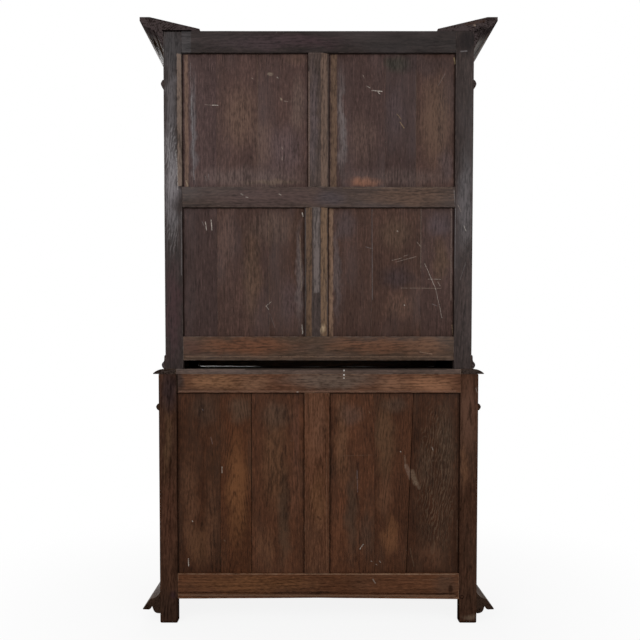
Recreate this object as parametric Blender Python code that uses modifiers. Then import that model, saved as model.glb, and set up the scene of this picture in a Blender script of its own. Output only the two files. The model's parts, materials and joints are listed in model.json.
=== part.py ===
"""Two-part oak bookcase in the Renaissance-revival manner, seen from its panelled back.

The upper body stands on the lower one. The front faces -Y and the back +Y, the floor is at z = 0.
Left and right are named as seen from the front, so left is -X. Metres.
"""
import math

import bmesh
import bpy
from mathutils import Matrix, Vector

# Fits
FIT = 0.0003
DOOR_GAP = 0.0015
RUNNER_GAP = 0.0006

# Lower body
LOWER_WIDTH = 1.282
LOWER_DEPTH = 0.500
LOWER_HEIGHT = 1.030
TOP_THICKNESS = 0.020
TOP_OVERHANG = 0.0215
TOP_NOSE_WIDTH = 0.036
TOP_NOSE_TIP = 0.003
LOWER_BACK_CLEARANCE = 0.102
LOWER_BACK_BOTTOM_RAIL = 0.100
LOWER_BACK_TOP_RAIL = 0.0745
LOWER_MUNTIN_WIDTH = 0.100
LOWER_MUNTIN_SHIFT = 0.006
LOWER_FRIEZE_HEIGHT = 0.146
LOWER_FLOOR_THICKNESS = 0.020
LOWER_SHELF_HEIGHT = 0.490

# Upper body
UPPER_SETBACK = 0.0285
UPPER_DEPTH = 0.416
UPPER_HEIGHT = 1.331
BACK_SLOT = 0.035
UPPER_BOTTOM_RAIL = 0.095
UPPER_LOWER_PANEL = 0.513
UPPER_MIDDLE_RAIL = 0.080
UPPER_TOP_RAIL = 0.084
UPPER_TOP_MUNTIN_WIDTH = 0.080
UPPER_BOTTOM_MUNTIN_WIDTH = 0.093
UPPER_BOTTOM_MUNTIN_SHIFT = 0.009
UPPER_FRIEZE_HEIGHT = 0.222
UPPER_FLOOR_THICKNESS = 0.018
FLOOR_ABOVE_SLOT = 0.003
UPPER_TOP_BOARD_THICKNESS = 0.018
UPPER_TOP_BOARD_DROP = 0.008
UPPER_SHELVES = 3
SHELF_THICKNESS = 0.020
SHELF_SETBACK = 0.007
SHELF_END_GAP = 0.0015

# Posts and joinery
POST_WIDTH = 0.071
POST_DEPTH = 0.055
BACK_POST_DEPTH = 0.036
FRAME_THICKNESS = 0.030
PANEL_THICKNESS = 0.010
PANEL_RECESS = 0.010
GROOVE_DEPTH = 0.009
TENON_LENGTH = 0.030
TENON_SHOULDER = 0.0105
PANEL_BEVEL_WIDTH = 0.027
PANEL_BEVEL_DEPTH = 0.005
PLANK_JOINT_WIDTH = 0.003
PLANK_JOINT_DEPTH = 0.002
POST_CHAMFER_WIDTH = 0.020
MUNTIN_CHAMFER_WIDTH = 0.027
CHAMFER_DEPTH = 0.007
CHAMFER_STOP = 0.005

# Side frames
SIDE_RAIL_THICKNESS = 0.026
SIDE_REVEAL = 0.0015
SIDE_PANEL_RECESS = 0.008
SIDE_RAIL_LAP = 0.020
SIDE_FIELD_MARGIN = 0.020
SIDE_FIELD_BEVEL = 0.030
SIDE_FIELD_RISE = 0.005
UPPER_SIDE_BOTTOM_RAIL = 0.125
UPPER_SIDE_TOP_RAIL = 0.230
LOWER_SIDE_BOTTOM_RAIL = 0.128
LOWER_SIDE_TOP_RAIL = 0.160
CLEAT_WIDTH = 0.018
CLEAT_HEIGHT = 0.022
CLEAT_HOUSING = 0.006
FLUTE_RADIUS = 0.005
FLUTE_DEPTH = 0.0035
FLUTE_SPACING = 0.016
FLUTES = 3
FLUTE_MARGIN = 0.060

# Mouldings
PLINTH_PROJECTION = 0.070
PLINTH_BOTTOM = 0.039
PLINTH_TOP = 0.126
CORNICE_PROJECTION = 0.092
CORNICE_RISE = 0.054
CORNICE_LAP = 0.060
CORNICE_INSET = 0.144
CORNICE_INNER_EDGE = 0.0085
CORNICE_FLAT = 0.040
CORNICE_FASCIA = 0.016
UPPER_ASTRAGAL_HEIGHT = 0.033
LOWER_ASTRAGAL_HEIGHT = 0.028
ASTRAGAL_PROJECTION = 0.0105
BASE_MOULDING_PROJECTION = 0.0145
BASE_SLIT = 0.0006
FRIEZE_TABLETS = 3
FRIEZE_TABLET_WIDTH = 0.280
FRIEZE_TABLET_HEIGHT = 0.080
FRIEZE_TABLET_STEP = 0.0015
FRIEZE_TABLET_BEVEL = 0.012
FRIEZE_TABLET_RISE = 0.004

# Doors
UPPER_DOOR_THICKNESS = 0.024
UPPER_DOOR_STILE = 0.065
UPPER_DOOR_TOP_RAIL = 0.075
UPPER_DOOR_BOTTOM_RAIL = 0.110
GLASS_THICKNESS = 0.004
GLASS_LAP = 0.008
STICKING_WIDTH = 0.007
STICKING_DEPTH = 0.007
LOWER_DOOR_THICKNESS = 0.026
LOWER_DOOR_STILE = 0.075
LOWER_DOOR_TOP_RAIL = 0.080
LOWER_DOOR_BOTTOM_RAIL = 0.095
DOOR_PANEL_THICKNESS = 0.008
DOOR_PANEL_BACKING = 0.006
FIELD_MARGIN = 0.022
FIELD_BEVEL = 0.034
FIELD_RISE = 0.007
FIELD_PEAK = 0.004

# Hinges, knobs and keys
HINGE_RADIUS = 0.0065
HINGE_LENGTH = 0.090
HINGE_FINIAL = 0.016
HINGE_LEAF_WIDTH = 0.014
HINGE_LEAF_THICKNESS = 0.002
HINGE_LEAF_HEIGHT = 0.072
HINGE_INSET = 0.130
KNOB_RADIUS = 0.016
KNOB_LENGTH = 0.030
KEY_SHAFT_RADIUS = 0.0028
KEY_CLEARANCE = 0.0004
KEY_DEPTH = 0.012
KEY_REACH = 0.024
KEY_BOW_RADIUS = 0.010
KEY_BOW_WIRE = 0.0024
UPPER_KEY_HEIGHT = 0.520
LOWER_KEY_HEIGHT = 0.420

# Drawers
DRAWER_FRAME_RAIL_DEPTH = 0.024
DRAWER_FRAME_SETBACK = 0.002
DRAWER_RUNNER_WIDTH = 0.045
DRAWER_RUNNER_HEIGHT = 0.020
DRAWER_DIVIDER_WIDTH = 0.040
DRAWER_FRONT_THICKNESS = 0.020
DRAWER_SIDE_GAP = 0.003
DRAWER_HEADROOM = 0.022
DRAWER_LENGTH = 0.430
DRAWER_WALL = 0.012
DRAWER_BOTTOM = 0.008
DRAWER_FIELD_MARGIN = 0.016
DRAWER_FIELD_RISE = 0.003

# Datum planes that several pieces share
BACK_Y = (LOWER_DEPTH + PLINTH_PROJECTION) / 2
LOWER_FRONT_Y = BACK_Y - LOWER_DEPTH
UPPER_FRONT_Y = BACK_Y - UPPER_DEPTH
BACK_FRAME_Y = BACK_Y - FRAME_THICKNESS
BACK_PANEL_Y = BACK_Y - PANEL_RECESS
LOWER_HALF = LOWER_WIDTH / 2
UPPER_HALF = LOWER_HALF - UPPER_SETBACK
LOWER_POST_X = LOWER_HALF - POST_WIDTH
UPPER_POST_X = UPPER_HALF - POST_WIDTH
LOWER_POST_TOP = LOWER_HEIGHT - TOP_THICKNESS - FIT
UPPER_FOOT_Z = LOWER_HEIGHT + FIT
UPPER_TOP_Z = LOWER_HEIGHT + UPPER_HEIGHT
UPPER_FLOOR_Z = LOWER_HEIGHT + BACK_SLOT + FLOOR_ABOVE_SLOT
UPPER_FLOOR_TOP = UPPER_FLOOR_Z + UPPER_FLOOR_THICKNESS
UPPER_FRIEZE_Z = UPPER_TOP_Z - UPPER_FRIEZE_HEIGHT
UPPER_CEILING_Z = UPPER_TOP_Z - UPPER_TOP_BOARD_DROP - UPPER_TOP_BOARD_THICKNESS
LOWER_FLOOR_Z = PLINTH_TOP + FIT
LOWER_FLOOR_TOP = LOWER_FLOOR_Z + LOWER_FLOOR_THICKNESS
LOWER_FRIEZE_Z = LOWER_HEIGHT - TOP_THICKNESS - LOWER_FRIEZE_HEIGHT
DRAWER_RAIL_TOP = LOWER_FRIEZE_Z + LOWER_ASTRAGAL_HEIGHT
FRONTWARD = (0, -1, 0)


def clear_scene():
    """Remove whatever the open file holds."""
    for thing in list(bpy.data.objects):
        bpy.data.objects.remove(thing, do_unlink=True)
    for group in list(bpy.data.collections):
        bpy.data.collections.remove(group)


def make_collection(name):
    """Add a collection under the scene."""
    group = bpy.data.collections.new(name)
    bpy.context.scene.collection.children.link(group)
    return group


def make_material(name, colour, roughness, metallic=0.0, alpha=1.0):
    """Make a Principled material."""
    material = bpy.data.materials.new(name)
    material.use_nodes = True
    shader = material.node_tree.nodes["Principled BSDF"]
    shader.inputs["Base Color"].default_value = (*colour, 1.0)
    shader.inputs["Roughness"].default_value = roughness
    shader.inputs["Metallic"].default_value = metallic
    shader.inputs["Alpha"].default_value = alpha
    material.diffuse_color = (*colour, alpha)
    return material


clear_scene()
PARTS = make_collection("bookcase")
CUTTERS = make_collection("cutters")
OAK_BACK = make_material("oak_back_dark", (0.060, 0.040, 0.030), 0.62)
OAK_BACK_WARM = make_material("oak_back_warm", (0.085, 0.045, 0.026), 0.62)
OAK_PANEL = make_material("oak_panel", (0.050, 0.034, 0.027), 0.68)
OAK_SHOW = make_material("oak_polished", (0.095, 0.046, 0.022), 0.42)
OAK_INSIDE = make_material("oak_inside", (0.170, 0.095, 0.050), 0.65)
GLASS = make_material("door_glass", (0.900, 0.920, 0.910), 0.05, alpha=0.3)
BRASS = make_material("aged_brass", (0.360, 0.240, 0.095), 0.38, metallic=1.0)
STEEL = make_material("key_steel", (0.260, 0.250, 0.240), 0.40, metallic=1.0)


def add_object(name, mesh_builder, place, group, material=None):
    """Turn a bmesh into an object whose origin is at the given place."""
    bmesh.ops.recalc_face_normals(mesh_builder, faces=mesh_builder.faces)
    bmesh.ops.translate(mesh_builder, vec=-Vector(place), verts=mesh_builder.verts)
    mesh = bpy.data.meshes.new(name)
    mesh_builder.to_mesh(mesh)
    mesh_builder.free()
    thing = bpy.data.objects.new(name, mesh)
    thing.location = place
    group.objects.link(thing)
    if material is not None:
        mesh.materials.append(material)
    if group is CUTTERS:
        thing.hide_render = True
        thing.display_type = "WIRE"
    return thing


def middle(low, high):
    """Centre of a box given by two corners."""
    return (Vector(low) + Vector(high)) / 2


def box_builder(low, high):
    """A bmesh cube stretched between two corners."""
    builder = bmesh.new()
    size = Vector(high) - Vector(low)
    matrix = Matrix.Translation(middle(low, high)) @ Matrix.Diagonal((*size, 1.0))
    bmesh.ops.create_cube(builder, size=1.0, matrix=matrix)
    return builder


def board(name, low, high, material):
    """A plain squared board."""
    return add_object(name, box_builder(low, high), middle(low, high), PARTS, material)


def helper_box(name, low, high, grow=0.0):
    """A box that only cuts or joins, grown on every side."""
    low = Vector(low) - Vector((grow, grow, grow))
    high = Vector(high) + Vector((grow, grow, grow))
    return add_object(name, box_builder(low, high), middle(low, high), CUTTERS)


def push_out(builder, face):
    """Extrude a face, keep it only where it closes an end, and give back the new end face."""
    closes_end = all(edge.is_boundary for edge in face.edges)
    grown = bmesh.ops.extrude_face_region(builder, geom=[face])["geom"]
    if not closes_end:
        builder.faces.remove(face)
    return next(item for item in grown if isinstance(item, bmesh.types.BMFace))


def flared_opening(name, low, high):
    """A cutter for a door's opening, flared at the front for the bevelled sticking."""
    builder = box_builder((low[0], low[1] + STICKING_DEPTH, low[2]), high)
    front = min(builder.faces, key=lambda face: face.calc_center_median().y)
    centre = middle(low, high)
    for vertex in push_out(builder, front).verts:
        vertex.co.x += math.copysign(STICKING_WIDTH, vertex.co.x - centre.x)
        vertex.co.z += math.copysign(STICKING_WIDTH, vertex.co.z - centre.z)
        vertex.co.y = low[1]
    return add_object(name, builder, centre, CUTTERS)


def combine(host, helper, operation):
    """Join a helper to a host, or cut it away."""
    modifier = host.modifiers.new(helper.name, "BOOLEAN")
    modifier.operation = operation
    modifier.solver = "EXACT"
    modifier.object = helper


def house(hosts, name, low, high):
    """Cut the seat of a box-shaped tenon, tongue or board into its hosts, with the fit round it."""
    cutter = helper_box(name, low, high, FIT)
    for host in hosts:
        combine(host, cutter, "DIFFERENCE")


def glue(host, name, low, high):
    """Join a box to a host."""
    combine(host, helper_box(name, low, high), "UNION")


def tenon_box(low, high, axis, side):
    """Corners of the tenon on one end of a rail."""
    inner_low = [value + TENON_SHOULDER for value in low]
    inner_high = [value - TENON_SHOULDER for value in high]
    if side > 0:
        inner_low[axis] = high[axis]
        inner_high[axis] = high[axis] + TENON_LENGTH
    else:
        inner_low[axis] = low[axis] - TENON_LENGTH
        inner_high[axis] = low[axis]
    return inner_low, inner_high


def tenoned(name, low, high, axis, material, hosts_low, hosts_high):
    """A rail or muntin with a tenon on each end, let into the pieces it meets."""
    builder = box_builder(low, high)
    builder.faces.ensure_lookup_table()
    ends = [face for face in builder.faces if abs(face.normal[axis]) > 0.9]
    for end in ends:
        bmesh.ops.inset_region(builder, faces=[end], thickness=TENON_SHOULDER, use_even_offset=True)
        outward = end.normal.copy() * TENON_LENGTH
        tip = push_out(builder, end)
        bmesh.ops.translate(builder, vec=outward, verts=tip.verts)
    rail = add_object(name, builder, middle(low, high), PARTS, material)
    house(hosts_low, name + "_mortise_low", *tenon_box(low, high, axis, -1))
    house(hosts_high, name + "_mortise_high", *tenon_box(low, high, axis, 1))
    return rail


def chamfer(host, name, edge_x, inward, width, low_z, high_z):
    """Plane a chamfer along an upright edge of the back, inward from the edge."""
    spare = 0.2
    outer = (edge_x - inward * width * spare, BACK_Y - CHAMFER_DEPTH * (1 + spare))
    inner = (edge_x + inward * width * (1 + spare), BACK_Y + CHAMFER_DEPTH * spare)
    builder = bmesh.new()
    corners = [builder.verts.new((x, y, low_z)) for x, y in (outer, inner, (outer[0], inner[1]))]
    top = push_out(builder, builder.faces.new(corners))
    for vertex in top.verts:
        vertex.co.z = high_z
    combine(host, add_object(name, builder, (edge_x, BACK_Y, low_z), CUTTERS), "DIFFERENCE")


def curve_between(start, control, end, count):
    """Points of a moulding's curve from start to end, bent towards the control point."""
    points = []
    for index in range(count + 1):
        t = index / count
        first = (start[0] * (1 - t) + control[0] * t, start[1] * (1 - t) + control[1] * t)
        second = (control[0] * (1 - t) + end[0] * t, control[1] * (1 - t) + end[1] * t)
        points.append((first[0] * (1 - t) + second[0] * t, first[1] * (1 - t) + second[1] * t))
    return points


def moulding_round(name, section, half_width, front_y, material):
    """Run a moulding along the left side, the front and the right side, mitred at the corners.

    The section's points are (distance out from the carcass, height).
    """
    builder = bmesh.new()
    ring = [builder.verts.new((-half_width - out, BACK_Y, height)) for out, height in section]
    cap = builder.faces.new(ring)
    cap = push_out(builder, cap)
    for vertex in cap.verts:
        vertex.co.y = front_y + half_width + vertex.co.x
    cap = push_out(builder, cap)
    for vertex in cap.verts:
        vertex.co.x = -vertex.co.x
    cap = push_out(builder, cap)
    for vertex in cap.verts:
        vertex.co.y = BACK_Y
    return add_object(name, builder, (0, 0, 0), PARTS, material)


def turned(name, profile, place, group, material, sides):
    """A turned piece about its own Z axis; the profile runs from top to bottom."""
    builder = bmesh.new()
    points = [builder.verts.new((radius, 0, height)) for radius, height in profile]
    for upper, lower in zip(points, points[1:]):
        builder.edges.new((upper, lower))
    thing = add_object(name, builder, (0, 0, 0), group, material)
    thing.location = place
    screw = thing.modifiers.new("turn", "SCREW")
    screw.axis = "Z"
    screw.angle = math.tau
    screw.steps = sides
    screw.render_steps = sides
    screw.use_merge_vertices = True
    screw.merge_threshold = 0.00002
    screw.use_smooth_shade = True
    return thing


def hang(pieces, name, place):
    """Put moving pieces on an empty that stands on their joint's axis."""
    pivot = bpy.data.objects.new(name, None)
    pivot.location = place
    pivot.empty_display_size = 0.05
    PARTS.objects.link(pivot)
    for piece in pieces:
        piece.parent = pivot
        piece.location = piece.location - Vector(place)


def span(side, near, far):
    """The two X values of something between two distances from the middle, on one side."""
    return (near, far) if side > 0 else (-far, -near)


def flute_post(frame, side, post_x, front_y, low_z, high_z):
    """Cut the flutes of a front post."""
    post_middle = side * (post_x + POST_WIDTH / 2)
    for index in range(FLUTES):
        offset = (index - (FLUTES - 1) / 2) * FLUTE_SPACING
        builder = bmesh.new()
        place = (post_middle + offset, front_y - FLUTE_RADIUS + FLUTE_DEPTH, (low_z + high_z) / 2)
        bmesh.ops.create_cone(builder, cap_ends=True, segments=12, radius1=FLUTE_RADIUS,
                              radius2=FLUTE_RADIUS, depth=high_z - low_z,
                              matrix=Matrix.Translation(place))
        cutter = add_object(f"{frame.name}_flute_{index}", builder, place, CUTTERS)
        combine(frame, cutter, "DIFFERENCE")


def field_panel(builder, outward, margin, bevel, rise):
    """Raise a bevelled field on the face of a box that looks outward."""
    builder.normal_update()
    field = max(builder.faces, key=lambda face: face.normal.dot(Vector(outward)))
    bmesh.ops.inset_region(builder, faces=[field], thickness=margin, use_even_offset=True)
    bmesh.ops.inset_region(builder, faces=[field], thickness=bevel, depth=rise, use_even_offset=True)
    return field


def side_frame(body, side, half, front_y, foot_z, top_z, bottom_rail, top_rail, cleats):
    """Front and back post, rails and shelf cleats of one side, and its panel in a groove."""
    hand = "right" if side > 0 else "left"
    post_x = half - POST_WIDTH
    x_low, x_high = span(side, post_x, half)
    name = f"{body}_{hand}_side_frame"
    frame = board(name, (x_low, BACK_Y - BACK_POST_DEPTH, foot_z), (x_high, BACK_Y, top_z), OAK_BACK)
    outer = half - SIDE_REVEAL
    rail_x = span(side, outer - SIDE_RAIL_THICKNESS, outer)
    rail_y = (front_y + POST_DEPTH - SIDE_RAIL_LAP, BACK_Y - BACK_POST_DEPTH + SIDE_RAIL_LAP)
    for rail_name, (low_z, high_z) in (("bottom", bottom_rail), ("top", top_rail)):
        glue(frame, f"{name}_{rail_name}_rail", (rail_x[0], rail_y[0], low_z),
             (rail_x[1], rail_y[1], high_z))
    glue(frame, f"{name}_front_post", (x_low, front_y, foot_z), (x_high, front_y + POST_DEPTH, top_z))
    cleat_x = span(side, post_x - CLEAT_WIDTH, post_x + CLEAT_HOUSING)
    for index, shelf_z in enumerate(cleats):
        glue(frame, f"{name}_cleat_{index}", (cleat_x[0], rail_y[0], shelf_z - FIT - CLEAT_HEIGHT),
             (cleat_x[1], BACK_FRAME_Y - FIT, shelf_z - FIT))
    panel_x = span(side, outer - SIDE_PANEL_RECESS - PANEL_THICKNESS, outer - SIDE_PANEL_RECESS)
    panel_low = (panel_x[0], front_y + POST_DEPTH - GROOVE_DEPTH, bottom_rail[1] - GROOVE_DEPTH)
    panel_high = (panel_x[1], BACK_Y - BACK_POST_DEPTH + GROOVE_DEPTH, top_rail[0] + GROOVE_DEPTH)
    house([frame], f"{name}_groove", panel_low, panel_high)
    builder = box_builder(panel_low, panel_high)
    field_panel(builder, (side, 0, 0), GROOVE_DEPTH + SIDE_FIELD_MARGIN, SIDE_FIELD_BEVEL, SIDE_FIELD_RISE)
    add_object(f"{body}_{hand}_side_panel", builder, middle(panel_low, panel_high), PARTS, OAK_SHOW)
    return frame


def back_panel(name, x_range, z_range, hosts, material, bevel_low=False, bevel_high=False, joints=()):
    """A panel of the back, in grooves, with bevelled edges and plank joints on its outer face.

    Each joint is (x at the bottom, x at the top).
    """
    low_x = x_range[0] - GROOVE_DEPTH
    high_x = x_range[1] + GROOVE_DEPTH
    low_z = z_range[0] - GROOVE_DEPTH
    high_z = z_range[1] + GROOVE_DEPTH
    front = BACK_PANEL_Y - PANEL_THICKNESS
    bevel = GROOVE_DEPTH + PANEL_BEVEL_WIDTH

    def outline(end):
        points = [(low_x, front), (high_x, front)]
        if bevel_high:
            points += [(high_x, BACK_PANEL_Y - PANEL_BEVEL_DEPTH), (high_x - bevel, BACK_PANEL_Y)]
        else:
            points.append((high_x, BACK_PANEL_Y))
        for joint in sorted(joints, reverse=True):
            points.append((joint[end] + PLANK_JOINT_WIDTH / 2, BACK_PANEL_Y))
            points.append((joint[end], BACK_PANEL_Y - PLANK_JOINT_DEPTH))
            points.append((joint[end] - PLANK_JOINT_WIDTH / 2, BACK_PANEL_Y))
        if bevel_low:
            points += [(low_x + bevel, BACK_PANEL_Y), (low_x, BACK_PANEL_Y - PANEL_BEVEL_DEPTH)]
        else:
            points.append((low_x, BACK_PANEL_Y))
        return points

    builder = bmesh.new()
    bottom = [builder.verts.new((x, y, low_z)) for x, y in outline(0)]
    top = push_out(builder, builder.faces.new(bottom))
    places = {(round(x, 7), round(y, 7)): index for index, (x, y) in enumerate(outline(0))}
    raised = outline(1)
    for vertex in top.verts:
        x, y = raised[places[(round(vertex.co.x, 7), round(vertex.co.y, 7))]]
        vertex.co = (x, y, high_z)
    place = ((low_x + high_x) / 2, (front + BACK_PANEL_Y) / 2, (low_z + high_z) / 2)
    panel = add_object(name, builder, place, PARTS, material)
    house(hosts, name + "_groove", (low_x, front, low_z), (high_x, BACK_PANEL_Y, high_z))
    return panel


def hinge(name, side, axis_x, face_y, z):
    """A barrel hinge with turned finials; its leaf lies on the post."""
    half = HINGE_LENGTH / 2
    tip = half + HINGE_FINIAL
    outline = [(0.0, tip), (HINGE_RADIUS * 0.45, tip - HINGE_FINIAL * 0.15),
               (HINGE_RADIUS * 0.62, tip - HINGE_FINIAL * 0.40),
               (HINGE_RADIUS * 0.40, tip - HINGE_FINIAL * 0.68),
               (HINGE_RADIUS * 0.92, half + HINGE_FINIAL * 0.06), (HINGE_RADIUS, half)]
    profile = outline + [(radius, -height) for radius, height in reversed(outline)]
    place = (side * axis_x, face_y - FIT - HINGE_RADIUS, z)
    barrel = turned(name, profile, place, PARTS, BRASS, 14)
    leaf_x = span(side, axis_x, axis_x + HINGE_LEAF_WIDTH)
    leaf_z = HINGE_LEAF_HEIGHT / 2
    glue(barrel, name + "_leaf", (leaf_x[0], face_y - FIT - HINGE_LEAF_THICKNESS, z - leaf_z),
         (leaf_x[1], face_y - FIT, z + leaf_z))
    return place


def key(name, door, x, front_y, z):
    """A key standing in the lock hole of a door, with a ring bow."""
    profile = [(0.0, KEY_REACH), (KEY_SHAFT_RADIUS, KEY_REACH),
               (KEY_SHAFT_RADIUS, KEY_REACH * 0.30), (KEY_SHAFT_RADIUS * 1.7, KEY_REACH * 0.26),
               (KEY_SHAFT_RADIUS * 1.7, KEY_REACH * 0.14), (KEY_SHAFT_RADIUS, KEY_REACH * 0.10),
               (KEY_SHAFT_RADIUS, -KEY_DEPTH), (0.0, -KEY_DEPTH)]
    place = (x, front_y, z)
    shaft = turned(name, profile, place, PARTS, STEEL, 12)
    shaft.rotation_euler = (math.pi / 2, 0, 0)
    bow_y = front_y - KEY_REACH - KEY_BOW_RADIUS + KEY_BOW_WIRE * 0.6
    bpy.ops.mesh.primitive_torus_add(major_segments=20, minor_segments=8, location=(x, bow_y, z),
                                     rotation=(0, math.pi / 2, 0), major_radius=KEY_BOW_RADIUS,
                                     minor_radius=KEY_BOW_WIRE)
    bow = bpy.context.active_object
    bow.name = name + "_bow"
    for group in list(bow.users_collection):
        group.objects.unlink(bow)
    CUTTERS.objects.link(bow)
    bow.hide_render = True
    bow.display_type = "WIRE"
    combine(shaft, bow, "UNION")
    builder = bmesh.new()
    sides = 16
    hole_radius = (KEY_SHAFT_RADIUS + KEY_CLEARANCE) / math.cos(math.pi / sides)
    bmesh.ops.create_cone(builder, cap_ends=True, segments=sides, radius1=hole_radius,
                          radius2=hole_radius, depth=2 * (KEY_DEPTH + DOOR_GAP),
                          matrix=Matrix.Translation(place) @ Matrix.Rotation(math.pi / 2, 4, "X"))
    combine(door, add_object(name + "_hole", builder, place, CUTTERS), "DIFFERENCE")
    return shaft


def upper_shelf_heights():
    """Undersides of the upper shelves, spaced evenly between floor and ceiling."""
    clear = UPPER_CEILING_Z - UPPER_FLOOR_TOP - UPPER_SHELVES * SHELF_THICKNESS
    bay = clear / (UPPER_SHELVES + 1)
    return [UPPER_FLOOR_TOP + bay + index * (bay + SHELF_THICKNESS) for index in range(UPPER_SHELVES)]


def build_sides():
    """The four side frames with their panels."""
    frames = {}
    for side in (-1, 1):
        frames["upper", side] = side_frame(
            "upper", side, UPPER_HALF, UPPER_FRONT_Y, UPPER_FOOT_Z, UPPER_TOP_Z,
            (LOWER_HEIGHT + BASE_SLIT, LOWER_HEIGHT + BASE_SLIT + UPPER_SIDE_BOTTOM_RAIL),
            (UPPER_TOP_Z - UPPER_SIDE_TOP_RAIL, UPPER_TOP_Z - SIDE_REVEAL), upper_shelf_heights())
        frames["lower", side] = side_frame(
            "lower", side, LOWER_HALF, LOWER_FRONT_Y, 0.0, LOWER_POST_TOP,
            (LOWER_BACK_CLEARANCE, LOWER_BACK_CLEARANCE + LOWER_SIDE_BOTTOM_RAIL),
            (LOWER_POST_TOP - LOWER_SIDE_TOP_RAIL, LOWER_POST_TOP - SIDE_REVEAL), [LOWER_SHELF_HEIGHT])
        flute_post(frames["upper", side], side, UPPER_POST_X, UPPER_FRONT_Y,
                   UPPER_FLOOR_TOP + FLUTE_MARGIN, UPPER_FRIEZE_Z - FLUTE_MARGIN)
        flute_post(frames["lower", side], side, LOWER_POST_X, LOWER_FRONT_Y,
                   LOWER_FLOOR_TOP + FLUTE_MARGIN, LOWER_FRIEZE_Z - FLUTE_MARGIN)
    return frames


def build_upper_back(frames):
    """Rails, muntins and panels of the upper back."""
    posts_low = [frames["upper", -1]]
    posts_high = [frames["upper", 1]]
    end = UPPER_POST_X - FIT
    bottom_z = LOWER_HEIGHT + BACK_SLOT
    lower_field = (bottom_z + UPPER_BOTTOM_RAIL, bottom_z + UPPER_BOTTOM_RAIL + UPPER_LOWER_PANEL)
    upper_field = (lower_field[1] + UPPER_MIDDLE_RAIL, UPPER_TOP_Z - UPPER_TOP_RAIL)
    spans = {"bottom": (bottom_z, lower_field[0]), "middle": (lower_field[1], upper_field[0]),
             "top": (upper_field[1], UPPER_TOP_Z)}
    rails = {}
    for name, (low_z, high_z) in spans.items():
        rails[name] = tenoned(f"upper_back_{name}_rail", (-end, BACK_FRAME_Y, low_z),
                              (end, BACK_Y, high_z), 0, OAK_BACK, posts_low, posts_high)
    chamfer(posts_high[0], "upper_back_post_chamfer", UPPER_POST_X, 1, POST_CHAMFER_WIDTH,
            upper_field[0] + CHAMFER_STOP, upper_field[1] - CHAMFER_STOP)
    rows = (("top", upper_field, "middle", "top", UPPER_TOP_MUNTIN_WIDTH, 0.0, 1, (False, True), (False, True)),
            ("bottom", lower_field, "bottom", "middle", UPPER_BOTTOM_MUNTIN_WIDTH,
             UPPER_BOTTOM_MUNTIN_SHIFT, 2, (False, True), (True, False)))
    for row, field, below, above, width, shift, chamfers, left_bevels, right_bevels in rows:
        x_low = shift - width / 2
        x_high = shift + width / 2
        muntin = tenoned(f"upper_back_{row}_muntin", (x_low, BACK_FRAME_Y, field[0] + FIT),
                         (x_high, BACK_Y, field[1] - FIT), 2, OAK_BACK, [rails[below]], [rails[above]])
        for edge_x, inward in ((x_low, 1), (x_high, -1))[:chamfers]:
            chamfer(muntin, f"upper_back_{row}_muntin_chamfer_{inward}", edge_x, inward,
                    MUNTIN_CHAMFER_WIDTH, field[0] - FIT, field[1] + FIT)
        hosts = [rails[below], rails[above], muntin]
        back_panel(f"upper_back_panel_{row}_left", (-UPPER_POST_X, x_low), field, hosts + posts_low,
                   OAK_PANEL, *left_bevels)
        back_panel(f"upper_back_panel_{row}_right", (x_high, UPPER_POST_X), field, hosts + posts_high,
                   OAK_PANEL, *right_bevels)


def build_lower_back(frames):
    """Rails, muntin and plank panels of the lower back."""
    posts_low = [frames["lower", -1]]
    posts_high = [frames["lower", 1]]
    end = LOWER_POST_X - FIT
    bottom_z = LOWER_BACK_CLEARANCE
    field = (bottom_z + LOWER_BACK_BOTTOM_RAIL, LOWER_POST_TOP - LOWER_BACK_TOP_RAIL)
    bottom = tenoned("lower_back_bottom_rail", (-end, BACK_FRAME_Y, bottom_z), (end, BACK_Y, field[0]),
                     0, OAK_BACK_WARM, posts_low, posts_high)
    top = tenoned("lower_back_top_rail", (-end, BACK_FRAME_Y, field[1]), (end, BACK_Y, LOWER_POST_TOP),
                  0, OAK_BACK_WARM, posts_low, posts_high)
    x_low = LOWER_MUNTIN_SHIFT - LOWER_MUNTIN_WIDTH / 2
    x_high = LOWER_MUNTIN_SHIFT + LOWER_MUNTIN_WIDTH / 2
    muntin = tenoned("lower_back_muntin", (x_low, BACK_FRAME_Y, field[0] + FIT),
                     (x_high, BACK_Y, field[1] - FIT), 2, OAK_BACK_WARM, [bottom], [top])
    left = LOWER_POST_X + x_low
    right = LOWER_POST_X - x_high
    back_panel("lower_back_panel_left", (-LOWER_POST_X, x_low), field, [bottom, top, muntin] + posts_low,
               OAK_PANEL, joints=((x_low - left * 0.60, x_low - left * 0.65),
                                  (x_low - left * 0.35, x_low - left * 0.35)))
    back_panel("lower_back_panel_right", (x_high, LOWER_POST_X), field, [bottom, top, muntin] + posts_high,
               OAK_PANEL, joints=((x_high + right * 0.42, x_high + right * 0.42),
                                  (x_high + right * 0.67, x_high + right * 0.67)))


def notch_for_posts(thing, half, front_y):
    """Cut a board round the four posts of its body."""
    low_z = thing.location.z - thing.dimensions.z
    high_z = thing.location.z + thing.dimensions.z
    for side in (-1, 1):
        x_low, x_high = span(side, half - POST_WIDTH, half)
        for end, y_low, depth in (("front", front_y, POST_DEPTH), ("back", BACK_Y - BACK_POST_DEPTH, BACK_POST_DEPTH)):
            house([thing], f"{thing.name}_{end}_notch_{side}", (x_low, y_low, low_z),
                  (x_high, y_low + depth, high_z))


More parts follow.
